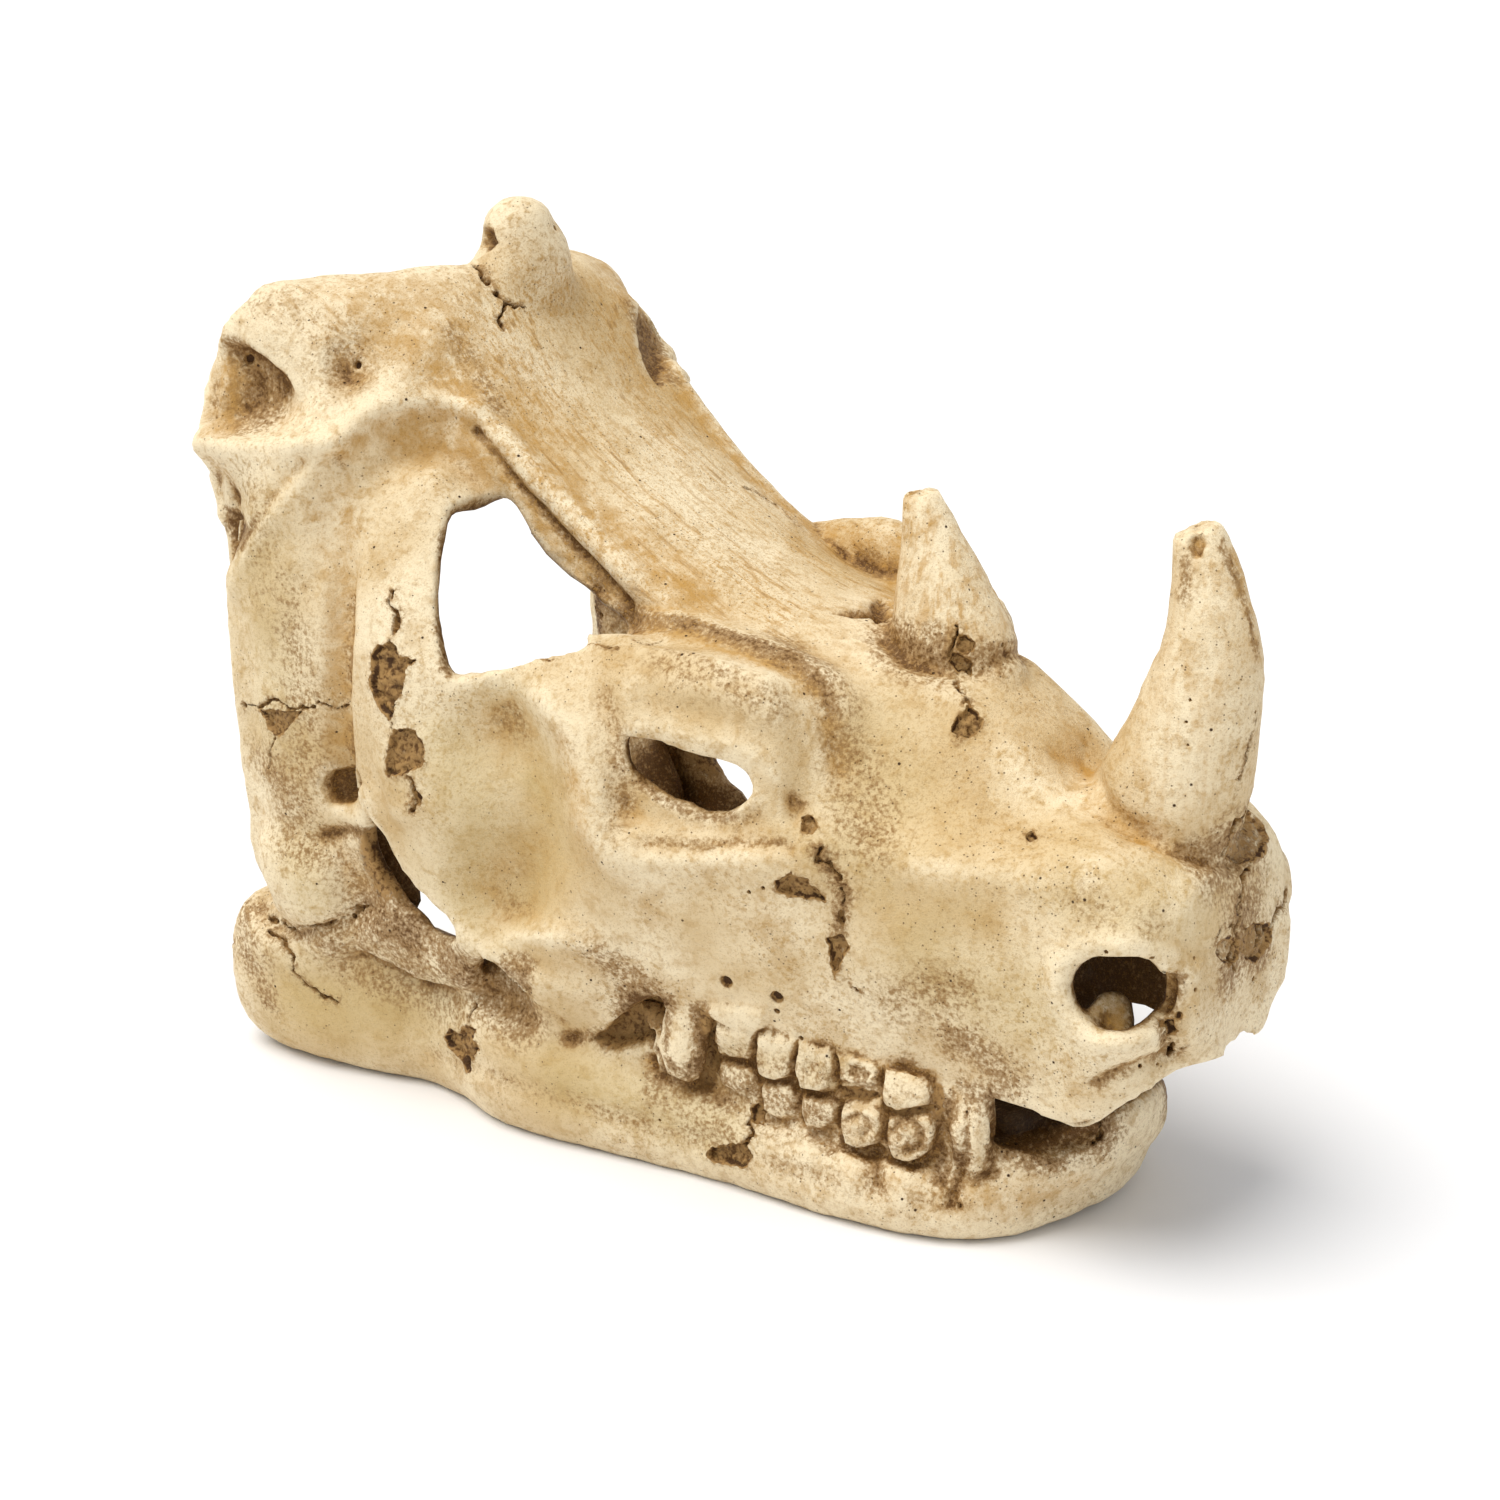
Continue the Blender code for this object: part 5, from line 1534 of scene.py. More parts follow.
    stains_and_painted_light: tuple[Mark, ...] = marks(
        ColourPatch,
        (3, 0.45, 322, 489, 318, 525, 326, 556), (4.5, 0.9, 415, 345, 470, 400, 540, 465, 600, 530, 640, 560),
        (7, 0.5, 430, 300, 480, 350, 560, 430),
        (2.6, 1, 484, 440, 518, 480, 552, 512, 580, 544, 612, 578, 632, 604),
        (4.5, -0.4, 384, 452, 430, 446, 466, 458, 492, 486),
        (5, 0.85, 520, 430, 570, 490, 630, 550, 700, 600), (0.8, 1, 890, 1150, 914, 1162, 934, 1150),
        (6, 0.9, 226, 362, 236, 392, 232, 420), (10, 0.6, 380, 300, 430, 330, 470, 370),
        (5, 0.8, 400, 440, 470, 450, 540, 520, 600, 580), (5, -0.8, 512, 885, 528, 892),
        (4, 1, 1095, 965, 1140, 968), (5, -0.6, 1070, 780, 1090, 810),
        (4, 0.5, 860, 1170, 1000, 1205, 1090, 1180),
        coat=OCHRE,
    ) + marks(
        ColourPatch,
        (7, 0.2, 240, 300, 300, 300, 330, 330, 330, 380),
        (0.8, 0.8, 492, 450, 518, 484, 548, 516, 574, 546, 604, 575, 626, 608),
        (4.5, -0.75, 384, 452, 430, 446, 466, 458, 492, 486), (2.2, -0.7, 372, 430, 410, 420, 446, 416),
        (3, -0.7, 500, 505, 530, 540, 560, 575, 590, 610), (3, 0.4, 450, 330, 480, 380, 500, 410),
        (11, -0.8, 290, 470, 310, 510, 315, 560), (3, 0.8, 626, 612, 640, 620, 636, 632),
        (5, 0.2, 735, 1045, 800, 1065, 870, 1080, 920, 1095),
        (1.4, 0.9, 442, 540, 438, 592, 440, 630, 446, 672), (1.6, 0.7, 515, 536, 550, 568, 585, 604),
        # this row and the next: painted shade on the rear tooth's right half and in the gaps round it, with
        # the brown taken off its lit middle by the patch at (680, 1018)
        (3, 1, 702, 1014, 706, 1034, 704, 1052, 696, 1068), (0.9, 0.9, 668, 1012, 664, 1040, 670, 1066),
        (1.8, -0.9, 680, 1018, 682, 1056), (1.4, 1, 666, 1000, 650, 1000, 628, 1012, 604, 1036),
        # the second patch is painted shade in the gap left of the tusk
        (2.5, 0.8, 660, 1075, 700, 1085, 725, 1100), (2.5, 0.9, 948, 1105, 955, 1160),
        (4, 0.5, 725, 1078, 780, 1100, 835, 1118, 925, 1140),
        (3, 0.42, 740, 1048, 800, 1068, 860, 1080, 930, 1095),
        # the first patch is a painted shadow that the upper cheek teeth cast on the lower row
        (0.9, 0.95, 725, 1060, 765, 1080, 805, 1094, 850, 1100), (1.8, 0.9, 928, 1082, 930, 1106),
        # the first patch is painted shade under the cheek's lower edge
        (7, 0.6, 450, 962, 490, 990, 530, 1012), (9, 0.36, 330, 945, 400, 975, 450, 1000),
        (4, 0.5, 244, 905, 250, 960, 268, 1000), (8, 0.3, 262, 760, 300, 800, 290, 850),
        # the first patch, with the patches at (285, 600) and (290, 620) below, darkens the pillar as painted
        # shade under the arch
        (6, 0.22, 250, 480, 262, 540, 258, 600), (3, 0.4, 965, 1095, 975, 1110),
        (2, 0.7, 925, 1085, 935, 1120), (4, 0.25, 358, 365, 350, 352),
        (5, -0.55, 226, 362, 236, 392, 232, 420), (9, 0.3, 285, 600, 300, 680, 305, 760),
        (6, 0.3, 290, 620, 300, 680), (7, 0.35, 400, 960, 430, 975), (6, 0.35, 600, 960, 640, 980),
        (5, 0.45, 700, 1130, 720, 1135), (5, 0.25, 660, 1100, 740, 1110, 800, 1130),
        (1.6, 0.8, 642, 780, 665, 802, 695, 816, 735, 818), (5, -0.7, 650, 815, 700, 840, 760, 838),
        (1.8, 0.75, 636, 616, 690, 624, 750, 640, 796, 658, 822, 684, 834, 716),
        (5, 0.35, 780, 640, 820, 664, 846, 700), (6, 0.36, 838, 720, 846, 770, 852, 810),
        (1, 0.5, 640, 842, 700, 844, 790, 842), (8, -0.45, 250, 890, 290, 900, 330, 880),
        (5, -0.9, 512, 885, 528, 892), (5, -0.45, 700, 768, 728, 778),
        # the patch at (990, 1092) and the one at (968, 1090) on the next row are painted shade on the tusk's
        # right side and top
        (5, -0.85, 1075, 735, 1080, 770, 1088, 790), (1.8, 0.9, 990, 1092, 994, 1120, 992, 1160),
        (3, 0.6, 968, 1090, 978, 1100), (7, 0.32, 860, 780, 876, 812, 862, 836),
        (7, 1, 650, 765, 680, 785, 700, 800, 735, 806), (2.5, 1, 597, 588, 599, 630),
        (6, 0.65, 890, 640, 920, 655, 945, 655), (4, 0.55, 975, 655, 995, 662),
        (5, 0.24, 1080, 900, 1110, 920, 1150, 925), (6, 0.5, 960, 1040, 990, 1060, 1000, 1075),
        (8, 0.3, 900, 1000, 960, 990), (6, 0.28, 1215, 890, 1245, 930),
        (4.5, 0.6, 1240, 830, 1250, 850, 1236, 866), (4.5, 0.6, 1240, 900, 1240, 950, 1262, 950),
        (4.5, -0.85, 1096, 800, 1116, 820, 1150, 846), (5.5, 1, 1000, 1128, 1050, 1135, 1095, 1128),
        # the patch at (640, 1000) is a painted shadow in the pit in front of the rear tooth
        (3, 0.6, 1000, 1150, 1060, 1162), (4.5, 1, 640, 1000, 620, 1030), (5, 0.15, 560, 740, 600, 760),
        (5, 0.3, 660, 660, 720, 680, 770, 700), (7, 0.3, 230, 930, 260, 960),
    ) + marks(
        ColourPatch,
        (2.4, 0.75, 496, 500, 526, 536, 556, 570, 586, 602),
        (2.4, 0.4, 506, 436, 540, 474, 580, 518, 620, 558), (10, 0.7, 295, 470, 320, 510, 350, 520),
        (5, 0.9, 230, 300, 260, 280), (3.5, 0.8, 300, 460, 330, 430, 380, 390),
        # the streak at (680, 1018) down the rear tooth and the small spots on the cheek teeth, down to (816,
        # 1056), are painted highlights
        (1.6, 1, 680, 1018, 682, 1056), (1.8, 0.9, 816, 1112, 822, 1120), (1.6, 0.9, 860, 1118, 868, 1128),
        (2.2, 0.9, 900, 1094, 902, 1082), (1.5, 0.9, 776, 1046, 774, 1064), (1.5, 0.8, 733, 1036, 736, 1052),
        (1.5, 0.8, 816, 1056, 812, 1078), (13, 0.4, 590, 400, 660, 450, 740, 510),
        (5, 0.5, 240, 600, 250, 680), (6, 0.7, 1200, 868, 1180, 900),
        (12, 0.6, 1200, 640, 1185, 700, 1170, 780), (6, 0.9, 1010, 760, 1040, 790, 1070, 800),
        coat=PALE,
    ) + marks(
        ColourPatch,
        # painted shade: near-black in the gaps beside the rear tooth and the tusk, and on the inside that is
        # seen through the cheek slit
        (2.2, 0.75, 708, 1016, 713, 1030, 714, 1050, 706, 1072),
        (2.8, 0.55, 660, 1002, 640, 1010, 622, 1026, 612, 1042), (1, 0.9, 938, 1088, 940, 1112),
        (4, 1, 375, 845, 392, 875),
        coat=FILL,
    ) + marks(
        ColourPatch,
        (11, 1, 480, 330, 560, 400, 640, 480, 720, 560, 790, 610),
        (11, 1, 560, 290, 640, 370, 740, 450, 850, 540), (9, 0.6, 300, 300, 380, 350, 440, 390),
        coat=STREAK,
    ) + marks(
        ColourPatch,
        # painted shade: an olive darkening of the cheek's bowl, the jaw, the pillar, the teeth and the lower
        # snout
        (11, 0.6, 930, 960, 980, 990, 1030, 1010), (8, 0.8, 300, 860, 310, 890),
        (12, 0.8, 300, 1000, 380, 1010, 440, 1000), (12, 0.8, 460, 760, 480, 850, 470, 900),
        (5, 1, 535, 779, 545, 800), (9, 0.9, 560, 1080, 640, 1100, 700, 1120),
        (11, 0.6, 250, 540, 268, 640, 285, 740), (4, 0.6, 735, 1050, 800, 1068, 840, 1075),
        (10, 0.6, 860, 760, 880, 812, 862, 850), (9, 0.5, 1080, 890, 1120, 915, 1170, 900),
        coat=OLIVE,
    ) + marks(
        ColourPatch,
        (1.9, 0.75, 818, 850, 830, 868, 845, 893, 841, 921, 838, 940),
        (2.6, -0.95, 1112, 1000, 1120, 1010, 1122, 1022), (1.6, -0.8, 1094, 1012, 1098, 1004),
        (2.2, 0.5, 1186, 562, 1184, 590), (0.9, 0.7, 1222, 545, 1238, 580, 1250, 620, 1257, 660),
        twin=False,
    ) + marks(
        ColourPatch,
        (3, 1, 1098, 1002, 1112, 1000, 1126, 1006, 1122, 1020), (2.6, 1, 1236, 562, 1248, 600, 1256, 650),
        (3.5, 0.9, 904, 505, 896, 560, 888, 620),
        coat=OCHRE, twin=False,
    ) + marks(
        ColourPatch,
        (1.2, 0.5, 1124, 1000, 1128, 1016),
        coat=PALE, twin=False,
    ) + marks(
        ColourPatch,
        (7, 1, 1040, 1060, 1080, 1085), (12, 0.5, 960, 860, 1040, 900, 1000, 960),
        (8, 0.8, 960, 1180, 1040, 1180, 1100, 1150),
        coat=SPECK,
    ) + marks(
        ColourPatch,
        (14, 1, 905, 520, 950, 600), (16, 0.5, 1205, 560, 1190, 680, 1180, 780),
        coat=HORN,
    )  # fmt: skip

    def small(self) -> tuple[Mark, ...]:
        """The marks that need a fine skin."""
        return (*self.cracks, *self.chips, *self.bubbles)


class Shading:
    """Small helper that adds nodes to one material. Its noises read Object coordinates."""

    def __init__(self, name: str) -> None:
        """Starts the material under its name."""
        self.material = bpy.data.materials.new(name)
        self.material.use_nodes = True
        self.tree = self.material.node_tree
        self.shader = self.tree.nodes["Principled BSDF"]
        self.shader.inputs["Specular IOR Level"].default_value = 0.22
        self.place = self.tree.nodes.new("ShaderNodeTexCoord").outputs["Object"]

    def link(self, value: object, socket: Socket) -> None:
        """Links a socket, or sets a plain value."""
        if isinstance(value, Socket):
            self.tree.links.new(value, socket)
        elif isinstance(value, tuple) and len(socket.default_value) > len(value):
            socket.default_value = (*value, 1.0)
        else:
            socket.default_value = value

    def add(self, kind: str, inputs: dict[str, object], **settings: object) -> bpy.types.Node:
        """Adds a node.

        Args:
            kind: its type, without the leading ShaderNode.
            inputs: a value or socket for each of its inputs by name.
            settings: its other settings.

        Returns:
            The node.
        """
        node = self.tree.nodes.new("ShaderNode" + kind)
        for name, setting in settings.items():
            setattr(node, name, setting)
        for name, value in inputs.items():
            self.link(value, node.inputs[name])
        return node

    def attribute(self, name: str) -> bpy.types.Node:
        """A node that reads a colour attribute of the mesh."""
        return self.add("Attribute", {}, attribute_name=name)

    def split(self, node: bpy.types.Node) -> tuple[Socket, ...]:
        """The three channels of a node's colour."""
        return tuple(self.add("SeparateColor", {"Color": node.outputs["Color"]}).outputs)

    def noise(
        self,
        scale: float,
        detail: float,
        stretch: Triple | None = None,
        slope: float = 0.0,
        twist: float = 0.0,
    ) -> Socket:
        """Adds a noise.

        Args:
            scale: features to a metre.
            detail: how many finer noises are added.
            stretch: how much longer the features are along each axis.
            slope: degrees by which the axes are tipped about Y first.
            twist: how strongly the features curl.

        Returns:
            The noise's socket.
        """
        place = self.place
        if stretch:
            turn = (0.0, math.radians(slope), 0.0)
            inputs = {"Rotation": turn, "Scale": stretch, "Vector": place}
            place = self.add("Mapping", inputs, vector_type="TEXTURE").outputs["Vector"]
        inputs = {"Scale": scale, "Detail": detail, "Roughness": 0.6, "Distortion": twist, "Vector": place}
        return self.add("TexNoise", inputs).outputs["Fac"]

    def spots(self, scale: float, radius: float, least: object) -> Socket:
        """Adds round spots, one in some of the cells.

        Args:
            scale: cells to a metre.
            radius: radius of a spot, in cells.
            least: a cell has its spot if its own random value is above this.

        Returns:
            The socket, 1 in the spots.
        """
        cells = self.add("TexVoronoi", {"Scale": scale, "Vector": self.place})
        spot = self.curve(cells.outputs["Distance"], radius * 1.5, radius * 0.7)
        return self.product(spot, self.math("GREATER_THAN", self.split(cells)[0], least))

    def math(self, operation: str, first: object, second: object, clamp: bool = False) -> Socket:
        """One step of arithmetic, kept between 0 and 1 where `clamp` is set."""
        node = self.add("Math", {}, operation=operation, use_clamp=clamp)
        self.link(first, node.inputs[0])
        self.link(second, node.inputs[1])
        return node.outputs["Value"]

    def product(self, first: object, second: object) -> Socket:
        """The product of two values, kept between 0 and 1."""
        return self.math("MULTIPLY", first, second, clamp=True)

    def spread(self, first: object, second: object) -> Socket:
        """The product of two values, below 0 too."""
        return self.math("MULTIPLY", first, second)

    def total(self, first: object, second: object) -> Socket:
        """The sum of two values, kept between 0 and 1."""
        return self.math("ADD", first, second, clamp=True)

    def lift(self, value: object, low: float, high: float) -> Socket:
        """A 0 to 1 value spread between two limits."""
        return self.add("MapRange", {"To Min": low, "To Max": high, "Value": value}).outputs["Result"]

    def curve(self, value: object, low: float, high: float) -> Socket:
        """Rises smoothly from 0 at `low` to 1 at `high`."""
        inputs = {"From Min": low, "From Max": high, "Value": value}
        return self.add("MapRange", inputs, interpolation_type="SMOOTHSTEP").outputs["Result"]

    def blend(self, factor: object, first: object, second: object) -> Socket:
        """A mix of two colours."""
        node = self.add("Mix", {"Factor": factor}, data_type="RGBA")
        self.link(first, node.inputs[6])
        self.link(second, node.inputs[7])
        return node.outputs[2]

    def over(
        self,
        base: Socket,
        colour: Triple,
        noise: Socket,
        low: float,
        high: float,
        strength: float,
        mask: Socket | None = None,
    ) -> Socket:
        """Lays a colour over another one where a noise is high.

        Args:
            base: the colour below.
            colour: the colour on top.
            noise: the noise.
            low: its value at which the colour starts to show.
            high: its value at which the colour is at full strength.
            strength: the full strength.
            mask: where the colour may show at all.

        Returns:
            The mixed colour.
        """
        factor = self.product(self.curve(noise, low, high), strength)
        return self.blend(factor if mask is None else self.product(mask, factor), base, colour)

    def bump(self, height: Socket, distance: float, strength: float) -> None:
        """Adds a bump of `distance` metres."""
        node = self.add("Bump", {"Strength": strength, "Distance": distance, "Height": height})
        self.link(node.outputs["Normal"], self.shader.inputs["Normal"])


class BoneShading(Shading):
    """Nodes of the bone resin: the coats that the mesh keeps, and the noises that its layers share."""

    def __init__(self, name: str, slope: float) -> None:
        """Reads the coats and adds the noises.

        Args:
            name: the material's name.
            slope: degrees by which the brush strokes of the crown are tipped.
        """
        super().__init__(name)
        first, second = self.attribute("coats_a"), self.attribute("coats_b")
        # the coats hold the stains, the wash and the cracks' filling, and also painted shade in umber, ochre,
        # olive and fill, and painted highlights in pale
        self.umber, self.ochre, self.pale = self.split(first)
        self.olive, self.streak, self.horn = self.split(second)
        self.fill, self.speck = first.outputs["Alpha"], second.outputs["Alpha"]
        self.mottle = self.noise(75.0, 5.0)
        self.cloud = self.noise(280.0, 5.0, twist=0.4)
        self.fine = self.noise(850.0, 5.0, twist=0.2)
        self.fleck = self.noise(1500.0, 3.0)
        self.grain = self.noise(2600.0, 2.0)
        self.strokes = self.noise(700.0, 4.0, (11.0, 1.0, 1.0), slope)
        self.fibres = self.noise(480.0, 4.0, (1.0, 1.0, 10.0))
        self.patch = self.lift(self.noise(38.0, 3.0), -0.9, 2.4)
        crowd = self.total(self.curve(self.mottle, 0.45, 0.75), self.speck)
        self.pits = self.spots(1250.0, 0.18, self.lift(crowd, 0.96, 0.70))
        self.holes = self.spots(420.0, 0.10, self.lift(crowd, 0.97, 0.86))


@dataclass(frozen=True)
class BoneResin:
    """Cream casting resin, dry-brushed pale, stained ochre and washed brown in its recesses, with painted
    shade in brown, ochre and olive, and painted highlights on the teeth.
    """

    cream: Triple = (0.61, 0.445, 0.228)
    # lighter cream of the mottle and of the pale coat, which also holds painted highlights on the teeth
    light: Triple = (0.84, 0.71, 0.485)
    tan: Triple = (0.47, 0.292, 0.105)
    ochre: Triple = (0.48, 0.262, 0.06)
    taupe: Triple = (0.275, 0.15, 0.05)
    # brown of the wash and of painted shade, and of the pinholes and chip floors
    umber: Triple = (0.112, 0.048, 0.009)
    # dark filling, also used as painted shade in some dark gaps
    fill: Triple = (0.062, 0.025, 0.005)
    chipped: Triple = (0.36, 0.208, 0.072)
    # colour of the olive painted shade
    olive: Triple = (0.50, 0.37, 0.142)
    roughness: float = 0.6
    crown_slope: float = 30.0  # in degrees
    bump_depth: float = 0.0007  # in metres
    bump_strength: float = 0.9

    def build(self) -> bpy.types.Material:
        """Makes the material, layer by layer from the casting's own colour to the cracks' filling."""
        work = BoneShading("bone_resin", self.crown_slope)
        base = self.filled_and_shaded(work, self.specked(work, self.washed_and_shaded(work, self.stained_and_shaded(work))))
        work.link(base, work.shader.inputs["Base Color"])
        work.bump(self.relief(work), self.bump_depth, self.bump_strength)
        rough = work.lift(work.mottle, self.roughness - 0.1, self.roughness + 0.14)
        work.link(rough, work.shader.inputs["Roughness"])
        return work.material

    def stained_and_shaded(self, work: BoneShading) -> Socket:
        """The mottled cream of the casting with its tan and ochre stains, its olive and ochre painted shade,
        dry-brushed pale, with painted highlights on the teeth.
        """
        base = work.blend(work.curve(work.noise(17.0, 3.0), 0.34, 0.60), self.cream, self.light)
        base = work.over(base, self.tan, work.mottle, 0.48, 0.70, 0.45)
        base = work.over(base, self.tan, work.cloud, 0.48, 0.70, 0.50)
        base = work.over(base, self.tan, work.fine, 0.48, 0.66, 0.6, work.patch)
        base = work.over(base, self.taupe, work.fleck, 0.54, 0.72, 0.5, work.patch)
        base = work.blend(work.product(work.olive, 0.55), base, self.olive)
        base = work.over(base, self.ochre, work.cloud, 0.25, 0.58, 1.0, work.ochre)
        base = work.blend(work.product(work.streak, 0.10), base, self.tan)
        base = work.over(base, self.ochre, work.strokes, 0.49, 0.64, 0.7, work.streak)
        base = work.over(base, self.ochre, work.fibres, 0.46, 0.62, 0.75, work.horn)
        pale_breakup = work.total(work.product(work.cloud, 0.6), work.product(work.fine, 0.4))
        return work.over(base, self.light, pale_breakup, 0.66, 0.40, 1.0, work.pale)

    def washed_and_shaded(self, work: BoneShading, base: Socket) -> Socket:
        """The brown wash that stays in the recesses, and the painted shade that the umber coat also carries,
        with a ragged edge.
        """
        gate = work.curve(work.umber, 0.0, 0.35)
        wash_and_shade = work.umber
        for noise, swing in ((work.fine, 0.85), (work.fleck, 0.6), (work.mottle, 0.4)):
            wash_and_shade = work.total(wash_and_shade, work.spread(work.lift(noise, -swing, swing), gate))
        base = work.over(base, self.taupe, wash_and_shade, 0.05, 0.6, 0.85)
        return work.blend(work.curve(wash_and_shade, 0.55, 1.0), base, self.umber)

    def specked(self, work: BoneShading, base: Socket) -> Socket:
        """The fine specks, and the pinholes of the casting."""
        base = work.over(base, self.taupe, work.grain, 0.56, 0.70, 0.34)
        base = work.over(base, self.taupe, work.strokes, 0.60, 0.70, 0.6, work.streak)
        golden = work.total(work.streak, work.product(work.ochre, 0.7))
        base = work.over(base, self.ochre, work.fleck, 0.55, 0.64, 0.6, golden)
        base = work.over(base, self.taupe, work.grain, 0.60, 0.68, 0.4, work.streak)
        base = work.blend(work.product(work.pits, 0.7), base, self.umber)
        return work.blend(work.holes, base, self.fill)

    def filled_and_shaded(self, work: BoneShading, base: Socket) -> Socket:
        """The dark filling of cracks and chips, and the dark painted shade that the fill coat also carries in
        some gaps.
        """
        shade = work.blend(work.curve(work.fine, 0.34, 0.56), self.umber, self.chipped)
        deep = work.total(work.fill, work.lift(work.fleck, -0.15, 0.15))
        shade = work.blend(work.curve(deep, 0.84, 1.0), shade, self.fill)
        ragged = work.total(work.fill, work.lift(work.fleck, -0.2, 0.2))
        return work.blend(work.curve(ragged, 0.08, 0.5), base, shade)

    def relief(self, work: BoneShading) -> Socket:
        """The height of the finest relief, lower in the pinholes."""
        height = work.total(work.product(work.fine, 0.4), work.product(work.grain, 0.25))
        height = work.total(height, work.product(work.cloud, 0.2))
        height = work.total(height, work.product(work.streak, work.product(work.strokes, 0.7)))
        holes = work.total(work.product(work.pits, 0.35), work.product(work.holes, 0.9))
        return work.math("SUBTRACT", height, holes)


@dataclass
class Skull:
    """The whole casting: its body fused from sheets and rods, carved, stained, given painted shade and
    highlights, and thinned out.
    """

    shell: FaceShell = field(default_factory=FaceShell)
    back: BackWall = field(default_factory=BackWall)
    frame: SideFrame = field(default_factory=SideFrame)
    jaw: Jaw = field(default_factory=Jaw)
    teeth: Teeth = field(default_factory=Teeth)
    crown: Crown = field(default_factory=Crown)
    forms: Forms = field(default_factory=Forms)
    wear_and_painted_light: WearAndPaintedLight = field(default_factory=WearAndPaintedLight)
    finish: BoneResin = field(default_factory=BoneResin)
    voxel: float = 0.85  # in mm
    quick_voxel: float = 1.5
    smoothing: int = 6  # rounds of smoothing after the fusing
    softening: int = 50  # rounds of smoothing where a stretch of skin is softened
    near_rounds: int = 6  # rounds of smoothing that the small creases are told from
    far_rounds: int = 40  # and the broader hollows
    shelter_rounds: int = 4
    first_reach: float = 2.0  # how near fine marks the skin is split, in mm
    second_reach: float = 1.2  # and how near the smallest ones it is split again
    coarse_grain: float = 0.26  # height of the skin's roughness, in mm
    fine_grain: float = 0.11
    clearance: float = 0.005  # between the finished skin and the frame's box, in mm
    most_triangles: int = 198500
    hidden_above: float = 0.72  # shelter of a point that counts as inside
    hidden_loss: float = 0.88  # share of the inside's points that thinning takes
    keeping: float = 1000.0  # how firmly thinning spares what is outside its group
    shelter: Array = field(default_factory=lambda: np.zeros(0))

    def fused(self) -> Body:
        """Joins the parts and remeshes them into one skin."""
        parts = [self.shell.build(), self.back.build(), *self.frame.build(), *self.jaw.build()]
        parts += [*self.teeth.build(), *self.crown.build()]
        for part in parts:
            apply_modifiers(part)
        for part in parts:
            part.select_set(True)
        bpy.ops.object.join()
        body = bpy.context.object
        body.name = body.data.name = "skull_casting"
        remesh = body.modifiers.new("fuse", "REMESH")
        remesh.mode = "VOXEL"
        remesh.voxel_size = self.voxel * MM
        apply_modifiers(body)
        self.drop_scraps(body)
        return body

    def drop_scraps(self, body: Body) -> None:
        """Removes all but the largest connected part: each point takes the lowest number that reaches it."""
        first, second = read_numbers(body.data.edges, "vertices", 2, np.int32).T
        label = np.arange(len(body.data.vertices))
        before = label - 1
        while (label != before).any():
            before = label.copy()
            low = np.minimum(label[first], label[second])
            np.minimum.at(label, first, low)
            np.minimum.at(label, second, low)
            label = label[label]
        scraps = np.flatnonzero(label != np.bincount(label).argmax())
        if len(scraps):
            with editing(body) as work:
                bmesh.ops.delete(work, geom=[work.verts[number] for number in scraps], context="VERTS")

    def build(self, low: Array, high: Array) -> Body:
        """Makes the finished skull.

        Args:
            low: lowest corner of the frame's box, in millimetres.
            high: its highest corner.

        Returns:
            The skull's object.
        """
        skin = Skin(self.fused())
        self.form(skin)
        self.detail(skin)
        skin.fit(low, high)
        self.store(skin)
        body = skin.body
        self.thin_out(body, skin.coats)
        Skin(body).fit(low + self.clearance, high - self.clearance)
        body.data.materials.clear()
        body.data.materials.append(self.finish.build())
        body.data.shade_smooth()
        log.info("skull: %d faces", len(body.data.polygons))
        return body

    def form(self, skin: Skin) -> None:
        """Smooths the fused body and moves it onto the frame, softens parts of it and lays broad forms."""
        skin.points = skin.smoothed(skin.points, self.smoothing) + CENTRING
        skin.write()
        skin.look_again()
        log.info("skull body: %d points", len(skin.points))
        share = np.max([mark.share(skin) for mark in self.forms.softened], axis=0)
        skin.points += (skin.smoothed(skin.points, self.softening) - skin.points) * share[:, None]
        skin.write()
        skin.look_again()
        carver = Carver(skin)
        carver.lay(*self.forms.broad)
        carver.carve()
        skin.look_again()

    def detail(self, skin: Skin) -> None:
        """Lays the fine forms, breaks the tips, washes and roughens the skin, paints shade and highlights on
        it, and stains and damages it.
        """
        small = self.wear_and_painted_light.small()
        self.refine(skin, (*self.forms.fine, *small), self.first_reach, whole=True)
        self.refine(skin, small, self.second_reach, whole=False)
        carver = Carver(skin)
        carver.lay(*self.forms.fine)
        carver.carve()
        for tip in self.wear_and_painted_light.breaks:
            tip.snap(skin)
        self.wash_shade_and_roughen(skin, carver)
        carver.lay(*self.wear_and_painted_light.stains_and_painted_light, *small)
        carver.carve()

